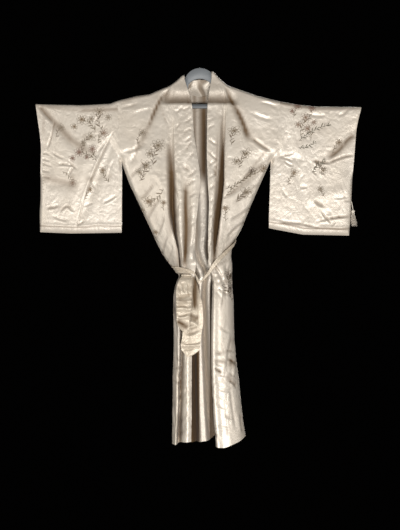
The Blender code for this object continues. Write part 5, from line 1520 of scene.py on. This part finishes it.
def sash_course(steps):
    """Angle round the garment, height, band height and stand-off along the closed course."""
    across = column(SASH_COURSE, 1)
    angle = np.arccos(np.clip(across, -1, 1)) * -column(SASH_COURSE, 3)
    angle = np.where(angle < 0, angle + 2 * np.pi, angle)
    angle[0] = np.pi
    knots = stacked(angle, *(column(SASH_COURSE, k) for k in (2, 4, 5)))
    knots = knots[np.argsort(knots[:, 0])]
    turn = np.array([2 * np.pi, 0, 0, 0])
    closed = np.concatenate([knots[-2:] - turn, knots, knots[:3] + turn])
    weight = np.array([SASH_TURN, 1, 1, 1])
    line = rounded_line(closed * weight, [steps] * (len(closed) - 1)) / weight
    return line[2 * steps:-2 * steps - 1]


def sash_material():
    """The thin silk of the sash, a little warmer and more wrinkled than the body."""
    return silk_material("sash_satin", settings().sash_colour, settings().silk_roughness,
                         0.012, 0.5)


class KIMONO_OT_sash(bpy.types.Operator):
    """Build the gathered band, the knot and the two hanging ends of the sash"""
    bl_idname = "kimono.sash"
    bl_label = "Sash"

    def execute(self, context):
        build_sash_band()
        build_sash_ends()
        build_knot()
        return {"FINISHED"}


def build_sash_band():
    """The band: pleats across it wander a little as they run round the waist."""
    angle, z, height, stand = sash_course(24).T
    across = np.cos(angle)
    side = np.where(np.sin(angle) >= 0, -1.0, 1.0)
    share = np.linspace(-0.5, 0.5, 40)
    stand = stand * (1 - 0.4 * bell(across, -1, 0.35))
    run = np.linspace(0, 2 * np.pi, len(angle))[:, None]
    wander = 0.05 * np.sin(5 * run + 9 * share[None, :]) + 0.04 * np.sin(11 * run)
    pleat = curve(SASH_PLEATS, 1,
                  np.clip(share[None, :] + wander * (0.25 - share**2) * 4, -0.5, 0.5))
    flat_part = bell(across[:, None], 0.3, 0.36) * (side[:, None] < 0)
    pleat = pleat * (1 - 0.75 * flat_part) + 1.4 * flat_part * np.cos(share * np.pi)
    pucker = smooth_noise(run * 60, share[None, :] * 30 + 0 * run, 3.0, 12.0, 5)
    pleat = pleat + 1.0 * pucker * (1 - flat_part)
    gathered = (height - FLAT_HEIGHT) / (PLEATED_HEIGHT - FLAT_HEIGHT)
    out = stand[:, None] + SASH_THICKNESS / 2 + pleat * np.maximum(gathered, 0.12)[:, None]
    grid = sash_points(across[:, None] + 0 * out, z[:, None] + share * height[:, None],
                       side[:, None] + 0 * out, out)
    ring = np.concatenate([grid[-1:], grid, grid[:1]])
    normal = grid_normals(ring, 1)[1:-1]
    away = grid - grid.mean(axis=(0, 1))
    if (normal[..., :2] * away[..., :2]).sum() < 0:
        normal = -normal
    # Painted shade between the gathers, where the band lies low
    depth = ease(2.2, 0.2, pleat) * 0.45
    piece = cloth_mesh("sash_band_cloth", grid, normal, depth, SASH_SHOWN, ring=True)
    dress(piece, sash_material(), "silk_sash", "sash_band")


def build_sash_ends():
    """The two hanging ends: each edge and stand-off by height, with cross ridges."""
    for name, table, ridges in (("sash_end_short", SHORT_END, SHORT_RIDGES),
                                ("sash_end_long", LONG_END, LONG_RIDGES)):
        z = np.linspace(table[0][0], table[-1][0], 120)[:, None]
        left, right, stand = (curve(table, k, z) for k in (1, 2, 3))
        share = np.linspace(0, 1, 44)[None, :]
        x = left + (right - left) * share
        level = z + 0 * x
        skirt = envelope(np.clip(x, END_LEFT_X, END_RIGHT_X), level, -1)
        skirt = np.minimum(skirt, envelope(END_REST_X, level, -1))
        grid = stacked(x, skirt - stand - END_BELLY * np.sin(np.pi * share), level)
        relief = crease_relief(x, level, ridges)
        relief = relief + 0.7 * crumple(x * 1.8, level * 1.8, 9)
        grid = grid - grid_normals(grid, -1) * relief[..., None]
        shade = ease(0.8, 4, relief) * 0.45 + broad_creases(x, level, END_SHADE)
        piece = cloth_mesh(name + "_cloth", grid, grid_normals(grid, -1),
                           np.clip(shade, 0, 1), SASH_SHOWN)
        dress(piece, sash_material(), "silk_sash", name)


def build_knot():
    """The knot: a flat rounded lump, r = (1 - |t|^3)^(1/2), with folds wound across it."""
    t = np.linspace(-1, 1, 64)[:, None]
    turn = np.linspace(0, 2 * np.pi, 49)[None, :-1]
    centre = np.array(KNOT_CENTRE)
    centre[1] = envelope(centre[0], centre[2], -1) - KNOT_STAND
    half_x, half_y, half_z = KNOT_HALF
    size = np.sqrt(np.maximum(1 - np.abs(t) ** 3, 0)) * (1 + 0.07 * np.sin(14 * t + 2 * turn))
    x = centre[0] + half_x * t + 0 * turn
    y = centre[1] + half_y * size * np.sin(turn)
    z = centre[2] + half_z * size * np.cos(turn)
    piece = tube_piece("sash_knot_cloth", stacked(x, y, z), closed_ends=False)
    dress(piece, sash_material(), "silk_sash", "sash_knot")


def tube_piece(name, rings, closed_ends=True, colour=None):
    """A skin over rings of points: rings run along it, points run round it."""
    count, turns = rings.shape[:2]
    index = numbered(count, turns)
    follow = np.roll(index, -1, axis=1)
    faces = quads(index[:-1], follow[:-1], follow[1:], index[1:]).tolist()
    if closed_ends:
        faces.append(index[0, ::-1].tolist())
        faces.append(index[-1].tolist())
    points = rings.reshape(-1, 3)
    face = faces[(count // 2) * turns]
    away = points[face[0]] - rings[count // 2].mean(axis=0)
    if np.dot(face_direction(points, face), away) < 0:
        faces = [face[::-1] for face in faces]
    uv = stacked(np.linspace(0, 0.02, turns)[None, :], np.linspace(0, 0.1, count)[:, None])
    paint = None if colour is None else np.tile([*colour, 1.0], (len(points), 1))
    return make_piece(name, points, faces, uv.reshape(-1, 2), None, paint)


def tube_rings(path, radius, turns):
    """Rings of points round a path of points that never runs along Y."""
    run = unit(np.gradient(path, axis=0))
    across = unit(np.cross(run, np.array([0.0, 1.0, 0.0])))
    other = np.cross(run, across)
    angle = np.linspace(0, 2 * np.pi, turns + 1)[:-1]
    radius = np.asarray(radius, dtype=float).reshape(-1, 1, 1)
    return path[:, None] + radius * (across[:, None] * np.cos(angle)[None, :, None]
                                     + other[:, None] * np.sin(angle)[None, :, None])


class KIMONO_OT_tassel(bpy.types.Operator):
    """Build the tassel: its cord, wound head and loose strands"""
    bl_idname = "kimono.tassel"
    bl_label = "Tassel"

    def execute(self, context):
        tint = tuple(settings().tassel_colour)
        top = np.array(TASSEL_TOP)
        low = top + np.array([TASSEL_SLANT, 0, -TASSEL_STEM])
        share = np.linspace(0, 1, 24)[:, None]
        path = top + (low - top) * share
        rings = tube_rings(path, 1.3 + 0.15 * np.sin(share * 60), 10)
        head = np.linspace(0, 1, 22)
        radius = TASSEL_HEAD_RADIUS * curve(TASSEL_PROFILE, 1, head)
        spine = low + np.array([0, 0, -1.0]) * (head * TASSEL_HEAD_HEIGHT)[:, None]
        cord = tube_piece("tassel_cord", rings, colour=tint)
        crown = tube_piece("tassel_head", tube_rings(spine, radius, 28), colour=tint)
        looks = thread_material("tassel_thread")
        dress(crown, looks, "tassel", "tassel")
        dress(cord, looks, "tassel")
        number = np.arange(settings().tassel_strands)
        golden = number * 2.399963
        spread = np.sqrt((number + 0.5) / len(number))
        start = stacked(np.cos(golden), np.sin(golden), 0 * golden)
        start = spine[-1] + start * (spread * TASSEL_HEAD_RADIUS * 0.8)[:, None]
        long = TASSEL_LENGTH * (0.86 + 0.14 * np.sin(number * 7.3))
        drop = np.linspace(0, 1, 12)
        sway = 0.5 * np.sin(number * 3.1)[:, None] * drop**2
        reach = 1 + 0.9 * np.sin(drop * 1.5)[None, :]
        flat = (start - spine[-1])[:, None, :2] * reach[..., None]
        path = np.concatenate([
            spine[-1][:2] + flat + stacked(sway * 3 + 5.0 * drop**3, sway * 2),
            (start[:, None, 2] - long[:, None] * drop)[..., None] + 1.5], axis=-1)
        angle = np.array([0, 2 * np.pi / 3, 4 * np.pi / 3])
        width = 0.34 * (1 - 0.3 * drop)
        ring = stacked(np.cos(angle), np.sin(angle), 0 * angle)
        points = path[:, :, None] + width[None, :, None, None] * ring[None, None]
        many, steps, turns = points.shape[:3]
        index = numbered(many, steps, turns)
        follow = np.roll(index, -1, axis=2)
        faces = quads(index[:, :-1], follow[:, :-1], follow[:, 1:], index[:, 1:])[:, ::-1]
        shade = 0.78 + 0.3 * np.abs(np.sin(number * 12.9))
        paint = np.ones((many, steps, turns, 4))
        paint[..., :3] = np.array(tint) * shade[:, None, None, None]
        uv = np.zeros((many * steps * turns, 2))
        strands = make_piece("tassel_strands", points.reshape(-1, 3), faces, uv, None,
                             paint.reshape(-1, 4))
        dress(strands, looks, "tassel")
        return {"FINISHED"}


def hanger_plane(x, z):
    """Depth of the hanger's middle: the arms are upright and the bar stands forward."""
    share = np.clip(np.abs(x) / HANGER_HALF_WIDTH, 0.0, 1.0)
    arm = -PLATE_THICKNESS / 2 - share**2
    bar = -PLATE_THICKNESS / 2 - BAR_FORWARD + BAR_BOW * share**2
    return arm + (bar - arm) * (1 - ease(BAR_TOP_Z, ARM_FORWARD_Z, z))


class KIMONO_OT_hanger(bpy.types.Operator):
    """Build the moulded hanger with its crown, arms and bar and rounded edges"""
    bl_idname = "kimono.hanger"
    bl_label = "Hanger"

    def execute(self, context):
        count = 160
        x = np.linspace(-HANGER_HALF_WIDTH, HANGER_HALF_WIDTH, count)
        arms = np.minimum(straight(HANGER_ARMS, x), shoulder_height(x) - SEAT_DROP)
        off = np.clip(np.abs(x - CROWN_X), 0, CROWN_RADIUS)
        dome = CROWN_TOP_Z - CROWN_RADIUS + np.sqrt(CROWN_RADIUS**2 - off**2)
        top = np.maximum(arms, np.where(off < CROWN_RADIUS, dome, -200))
        inner_x = x * 0.87
        off = np.clip(np.abs(inner_x - CROWN_X), 0, CROWN_LOWER_RADIUS * 0.9)
        arch = CROWN_LOWER_Z - CROWN_LOWER_RADIUS + np.sqrt(CROWN_LOWER_RADIUS**2 - off**2)
        foot = np.interp(inner_x, x, arms) - ARM_HEIGHT
        under = np.where(np.abs(inner_x - CROWN_X) < 45, np.maximum(arch, foot), foot)
        under = np.maximum(under, BAR_TOP_Z + 3)
        outer = np.concatenate([stacked(x, top), stacked(x[::-1], BAR_TOP_Z - BAR_HEIGHT)])
        inner = np.concatenate([stacked(inner_x, under), stacked(inner_x[::-1], BAR_TOP_Z)])
        loops = []
        for outline, aim, turns in ((outer, inner, (-80, -50, -20, 20, 50, 80)),
                                    (inner, outer, (80, 50, 20, -20, -50, -80))):
            for turn in np.radians(turns):
                edge = outline + unit(aim - outline) * HANGER_CHAMFER * (1 - np.cos(turn))
                y = hanger_plane(edge[:, 0], edge[:, 1]) + PLATE_THICKNESS / 2 * np.sin(turn)
                loops.append(stacked(edge[:, 0], y, edge[:, 1]))
        rings = np.array(loops)
        index = numbered(*rings.shape[:2])
        beside = np.roll(index, -1, axis=1)
        faces = quads(index, beside, np.roll(beside, -1, axis=0), np.roll(index, -1, axis=0))
        points = rings.reshape(-1, 3)
        if face_direction(points, faces[3 * rings.shape[1] + count // 2 - 8])[2] < 0:
            faces = faces[:, ::-1]
        piece = make_piece("hanger_moulding", points, faces)
        dress(piece, plastic_material(), "hanger", "hanger")
        return {"FINISHED"}


def surfaces():
    """Every panel that carries embroidery: points, normals and first row that counts."""
    found = {}
    for label in ("left", "right"):
        # The third value is the front's painted shade, not used here
        grid, normal, depth, marks = front_surface(label)
        found["front_" + label] = (grid, normal, 0, len(grid))
        grid, normal, shade = sleeve_surface(label)
        found["sleeve_" + label] = (grid, normal, SLEEVE_ROWS, len(grid))
        found["sleeve_" + label + "_back"] = (grid, normal, 0, SLEEVE_ROWS)
    grid, normal, outside, inside, marks = back_surface()
    found["back"] = (grid, normal, 0, len(grid))
    return found


def lay_on(surface, at_x, at_z, points, lift):
    """Points of a motif drawn flat about (at_x, at_z), laid on the cloth.

    The nearest point of the cloth is found; the motif's width and height become steps
    along the columns and rows there, and each point is a blend of its four neighbours.
    """
    grid, normal, first, last = surface
    near = np.abs(grid[first:last, :, 0] - at_x) + np.abs(grid[first:last, :, 2] - at_z)
    near = near + np.where(np.abs(normal[first:last, :, 1]) < 0.35, 30, 0)
    row, col = np.unravel_index(np.argmin(near), near.shape)
    row = row + first
    r0, r1 = max(row - 8, first), min(row + 8, last - 1)
    c0, c1 = max(col - 8, 0), min(col + 8, grid.shape[1] - 1)
    step_x = (grid[row, c1, 0] - grid[row, c0, 0]) / (c1 - c0)
    step_z = (grid[r1, col, 2] - grid[r0, col, 2]) / (r1 - r0)
    step_x = step_x if abs(step_x) > 0.8 else math.copysign(0.8, step_x)
    c = np.clip(col + points[..., 0] / step_x, 0, grid.shape[1] - 1.001)
    r = np.clip(row + points[..., 1] / step_z, 0, grid.shape[0] - 1.001)
    i = r.astype(int)
    j = c.astype(int)
    s = (r - i)[..., None]
    t = (c - j)[..., None]

    def blend(values):
        low = values[i, j] * (1 - t) + values[i, j + 1] * t
        high = values[i + 1, j] * (1 - t) + values[i + 1, j + 1] * t
        return low * (1 - s) + high * s

    base = settings().thickness / MM / 2 + 0.15
    return blend(grid) + unit(blend(normal)) * (base + lift)[..., None]


def petal_shape(length, width, notch, rows=7, columns=5):
    """A petal on a grid: half width sin(pi s)^0.6, a dip at the tip, domed across."""
    s = np.linspace(0, 1, rows)[:, None]
    t = np.linspace(-1, 1, columns)[None, :]
    half = width / 2 * np.sin(np.pi * (0.06 + 0.9 * s)) ** 0.6
    x = half * t
    z = length * s - notch * length * (1 - np.abs(t)) * ease(0.7, 1.0, s)
    rise = 0.55 * (1 - t**2) ** 0.5 * np.sin(np.pi * np.clip(s * 0.9 + 0.08, 0, 1)) ** 0.4
    return stacked(x, z), rise + 0 * x, stacked(s, t)


def turned(points, angle):
    """Points in the plane turned by an angle."""
    c, s = math.cos(angle), math.sin(angle)
    return stacked(c * points[..., 0] - s * points[..., 1],
                   s * points[..., 0] + c * points[..., 1])


class Stitching:
    """Collects patches of thread for one panel and turns them into one mesh."""

    def __init__(self):
        self.points = []
        self.faces = []
        self.colours = []
        self.uv = []
        self.count = 0

    def add(self, surface, at, flat, rise, grain, colour):
        """One patch: a flat grid about a place, its rise, its grain and its colour."""
        laid = lay_on(surface, at[0], at[1], flat, rise)
        rows, columns = rise.shape
        index = numbered(rows, columns)
        faces = quads(index[:-1, :-1], index[:-1, 1:], index[1:, 1:], index[1:, :-1])
        points = laid.reshape(-1, 3)
        side = surface[1][surface[2]:surface[3], :, 1].sum()
        if face_direction(points, faces[len(faces) // 2])[1] * side < 0:
            faces = faces[:, ::-1]
        self.points.append(points)
        self.faces.append(faces + self.count)
        shade = (0.82 + 0.25 * grain[..., :1]) * np.array(colour)
        full = np.concatenate([shade, np.ones(shade.shape[:-1] + (1,))], axis=-1)
        self.colours.append(full.reshape(-1, 4))
        self.uv.append(grain.reshape(-1, 2) * 0.01)
        self.count += rows * columns

    def flower(self, surface, at, size, petals, turn, colour, heart):
        """A blossom: outlined petals with a stitched root each, round a knot of thread."""
        for ring, share in enumerate((1.0, 0.62)):
            for k in range(petals):
                way = turn + 2 * math.pi * (k + ring / 2) / petals
                long = size * share * (0.92 + 0.12 * math.sin(3.1 * k + turn))
                flat, rise, grain = petal_shape(long, 2.3 * long / petals**0.75, 0.10)
                loop = np.concatenate([flat[:, 0], flat[::-1, -1]])
                self.stem(surface, at, turned(loop, way), 1.0, colour)
                flat, rise, grain = petal_shape(long * 0.45, 0.6 * long / petals**0.75, 0.0)
                tint = tuple(c * 1.3 for c in colour)
                self.add(surface, at, turned(flat, way), rise * 0.7, grain, tint)
        s = np.linspace(0, 1, 4)[:, None]
        a = np.linspace(0, 2 * np.pi, 11)[None, :]
        dot = stacked(np.cos(a) * s, np.sin(a) * s) * size * 0.14
        self.add(surface, at, dot, 1 - s**2 + 0 * a, stacked(s, a) * 0.3, heart)

    def leaf(self, surface, at, offset, length, width, turn, colour):
        """One leaf: two halves of satin stitch that meet in a low midrib."""
        flat, rise, grain = petal_shape(length, width, -0.12, 8, 5)
        rise = rise * (0.75 + 0.25 * np.abs(grain[..., 1]))
        self.add(surface, at, turned(flat, turn) + offset, rise, grain, colour)

    def stem(self, surface, at, line, width, colour):
        """A cord of stem stitch along a line of points in the plane."""
        run = unit(np.gradient(line, axis=0))
        side = stacked(-run[:, 1], run[:, 0])
        t = np.linspace(-1, 1, 4)[None, :, None]
        flat = line[:, None] + side[:, None] * t * width / 2
        rise = 0.35 * (1 - t[..., 0] ** 2) + 0 * flat[..., 0]
        grain = stacked(np.linspace(0, 1, len(line))[:, None], t[..., 0])
        self.add(surface, at, flat, rise, grain, colour)

    def finish(self, name, slot):
        """The mesh of every patch gathered so far."""
        piece = make_piece(name, np.concatenate(self.points), np.concatenate(self.faces),
                           np.concatenate(self.uv), None, np.concatenate(self.colours))
        return dress(piece, thread_material("embroidery_thread", 0.38), slot)


def sew_spray(work, surface, spray, seed):
    """A spray: a bent stem, leaves by turns on both sides and flowers at its end."""
    x0, z0, x1, z1, bend, leaves, size, kind = spray[:8]
    length = math.hypot(x1 - x0, z1 - z0)
    share = np.linspace(0, 1, 28)
    across = np.array([-(z1 - z0), x1 - x0]) / max(length, 1e-6)
    line = stacked((x1 - x0) * share, (z1 - z0) * share)
    line = line + across * (bend * 4 * share * (1 - share))[:, None]
    middle = line[len(line) // 2]
    at = (x0 + middle[0], z0 + middle[1])
    line = line - middle
    petal, heart, green = THREADS[kind]
    if length > 5:
        work.stem(surface, at, line, 1.3, green)
    leaves = int(leaves * LEAF_CROWDING)
    for k in range(leaves):
        place = (k + 0.7) / (leaves + 0.6)
        spot = np.array([np.interp(place, share, line[:, 0]),
                         np.interp(place, share, line[:, 1])])
        run = math.atan2(z1 - z0, x1 - x0) - math.pi / 2
        way = 1 if k % 2 else -1
        wobble = 0.25 * math.sin(seed * 1.7 + k * 2.3)
        long = size * (0.72 + 0.25 * math.sin(seed + 1.9 * k))
        work.leaf(surface, at, spot, long, long * 0.24, run + way * (0.7 + wobble), green)
    if petal is None:
        return
    size = size * BLOSSOM_SIZE
    tip = np.array([x0, z0]) + (line[-1] + middle)
    work.flower(surface, tip, size, 7 + seed % 3, seed * 0.7, petal, heart)
    for off_x, off_z, part, turn in FURTHER_FLOWERS[:max(spray[8] - 1, 0)]:
        work.flower(surface, tip + size * np.array([off_x, off_z]), size * part, 6,
                    seed * turn, petal, heart)


class KIMONO_OT_embroidery(bpy.types.Operator):
    """Sew the flower sprays on to the sleeves, fronts and back"""
    bl_idname = "kimono.embroidery"
    bl_label = "Embroidery"

    def execute(self, context):
        found = surfaces()
        for number, (panel, slot, sprays) in enumerate(EMBROIDERY):
            work = Stitching()
            for k, spray in enumerate(sprays):
                sew_spray(work, found[panel], spray, number * 7 + k)
            if panel in CUFF_STITCHES:
                x, low, high, tuck = CUFF_STITCHES[panel]
                for k, z in enumerate(np.arange(low, high, 11.0)):
                    long = 5 + 3 * math.sin(2.1 * k)
                    line = np.linspace([0, 0], [long * tuck, 2 * math.sin(1.7 * k)], 6)
                    work.stem(found[panel], (x, z), line, 1.5, CUFF_THREAD)
            work.finish("embroidery_" + panel, slot)
        return {"FINISHED"}


class KIMONO_OT_stage(bpy.types.Operator):
    """Set up the floor, the soft lights, the dark surround and the camera"""
    bl_idname = "kimono.stage"
    bl_label = "Studio"

    def execute(self, context):
        stage = stage_settings()
        scene = context.scene
        world = bpy.data.worlds.new("dark_surround")
        world.use_nodes = True
        set_inputs(world.node_tree, world.node_tree.nodes["Background"],
                   Color=SURROUND_TINT, Strength=stage.surround_strength)
        scene.world = world
        scene.view_settings.view_transform = "Standard"
        low = stage.floor_height / MM
        corners = [(-FLOOR_HALF, FLOOR_FRONT, low), (FLOOR_HALF, FLOOR_FRONT, low),
                   (FLOOR_HALF, FLOOR_BACK, low), (-FLOOR_HALF, FLOOR_BACK, low)]
        floor = make_piece("floor", corners, [(0, 1, 2, 3)])
        material, tree, shader = new_material("pale_floor")
        set_inputs(tree, shader, Base_Color=FLOOR_TINT, Roughness=0.8)
        floor.data.materials.append(material)
        aim = Vector(LIGHT_AIM)
        for name, place, width, height, watts, tint in STUDIO_LIGHTS:
            lamp = bpy.data.lights.new(name, "AREA")
            lamp.shape = "RECTANGLE"
            lamp.size = width
            lamp.size_y = height
            lamp.energy = watts * stage.light_strength
            lamp.color = tint
            thing = bpy.data.objects.new(name, lamp)
            thing.location = place
            thing.rotation_euler = (aim - Vector(place)).to_track_quat("-Z", "Y").to_euler()
            scene.collection.objects.link(thing)
        lens = bpy.data.cameras.new("photo_camera")
        lens.lens = stage.lens
        lens.sensor_fit = "VERTICAL"
        lens.sensor_height = SENSOR_HEIGHT
        camera = bpy.data.objects.new("photo_camera", lens)
        camera.location = (CAMERA_X, -stage.distance, CAMERA_Z)
        camera.rotation_euler = (math.radians(90), 0, 0)
        scene.collection.objects.link(camera)
        scene.camera = camera
        return {"FINISHED"}


class KimonoSettings(bpy.types.PropertyGroup):
    """Sizes, wear and colours of the garment"""
    thickness: bpy.props.FloatProperty(
        name="Cloth Thickness", description="Thickness of the silk as shown", default=0.0008,
        min=0.0002, max=0.003, unit="LENGTH", precision=4)
    crease_strength: bpy.props.FloatProperty(
        name="Creases", description="Depth of the drawn creases", default=1.05, min=0, max=2)
    crumple_strength: bpy.props.FloatProperty(
        name="Crumple", description="Height of the fine wrinkles", default=1.9, min=0, max=3)
    silk_colour: bpy.props.FloatVectorProperty(
        name="Silk", description="Colour of the body and sleeves", subtype="COLOR", size=3,
        default=(0.78, 0.715, 0.635), min=0, max=1)
    sash_colour: bpy.props.FloatVectorProperty(
        name="Sash", description="Colour of the sash", subtype="COLOR", size=3,
        default=(0.76, 0.675, 0.56), min=0, max=1)
    # Colour of the painted shade deep in the folds and recesses
    painted_shade_colour: bpy.props.FloatVectorProperty(
        name="Folds", description="Colour deep in the folds", subtype="COLOR", size=3,
        default=(0.135, 0.075, 0.028), min=0, max=1)
    hanger_colour: bpy.props.FloatVectorProperty(
        name="Hanger", description="Colour of the hanger", subtype="COLOR", size=3,
        default=(0.25, 0.27, 0.29), min=0, max=1)
    tassel_colour: bpy.props.FloatVectorProperty(
        name="Tassel", description="Colour of the tassel's thread", subtype="COLOR", size=3,
        default=(1.0, 0.92, 0.8), min=0, max=1)
    silk_roughness: bpy.props.FloatProperty(
        name="Silk Roughness", description="Roughness of the satin", default=0.37, min=0.1,
        max=1, subtype="FACTOR")
    tassel_strands: bpy.props.IntProperty(
        name="Tassel Strands", description="Number of strands in the tassel", default=120,
        min=12, max=250)


class KimonoStage(bpy.types.PropertyGroup):
    """Lights, floor and camera"""
    light_strength: bpy.props.FloatProperty(
        name="Light", description="Strength of the soft lights", default=1.0, min=0, max=10)
    surround_strength: bpy.props.FloatProperty(
        name="Surround", description="Brightness of the surround", default=0.0006, min=0, max=2)
    floor_height: bpy.props.FloatProperty(
        name="Floor", description="Height of the floor", default=-1.86, unit="LENGTH")
    distance: bpy.props.FloatProperty(
        name="Distance", description="Distance of the camera", default=4.755, unit="LENGTH")
    lens: bpy.props.FloatProperty(
        name="Lens", description="Focal length in millimetres", default=85.0, min=20, max=200)


class KIMONO_PT_panel(bpy.types.Panel):
    """Build the kimono and its studio"""
    bl_label = "Silk Kimono"
    bl_idname = "KIMONO_PT_panel"
    bl_space_type = "VIEW_3D"
    bl_region_type = "UI"
    bl_category = "Kimono"

    def draw(self, context):
        layout = self.layout
        for group in (context.scene.kimono_settings, context.scene.kimono_stage):
            for name in group.__annotations__:
                layout.prop(group, name)
        for operator in OPERATORS:
            layout.operator(operator.bl_idname)


OPERATORS = (KIMONO_OT_hanger, KIMONO_OT_fronts, KIMONO_OT_back, KIMONO_OT_sleeves,
             KIMONO_OT_sash, KIMONO_OT_tassel, KIMONO_OT_embroidery, KIMONO_OT_stage)
CLASSES = (KimonoSettings, KimonoStage) + OPERATORS + (KIMONO_PT_panel,)


def register():
    """Register the classes and the two groups of values."""
    for item in CLASSES:
        bpy.utils.register_class(item)
    bpy.types.Scene.kimono_settings = bpy.props.PointerProperty(type=KimonoSettings)
    bpy.types.Scene.kimono_stage = bpy.props.PointerProperty(type=KimonoStage)


def unregister():
    """Remove the two groups of values and the classes."""
    del bpy.types.Scene.kimono_stage
    del bpy.types.Scene.kimono_settings
    for item in reversed(CLASSES):
        bpy.utils.unregister_class(item)


def main():
    """Build every piece and the studio."""
    register()
    bpy.ops.kimono.hanger()
    bpy.ops.kimono.fronts()
    bpy.ops.kimono.back()
    bpy.ops.kimono.sleeves()
    bpy.ops.kimono.sash()
    bpy.ops.kimono.tassel()
    bpy.ops.kimono.embroidery()
    bpy.ops.kimono.stage()


if __name__ == "__main__":
    main()
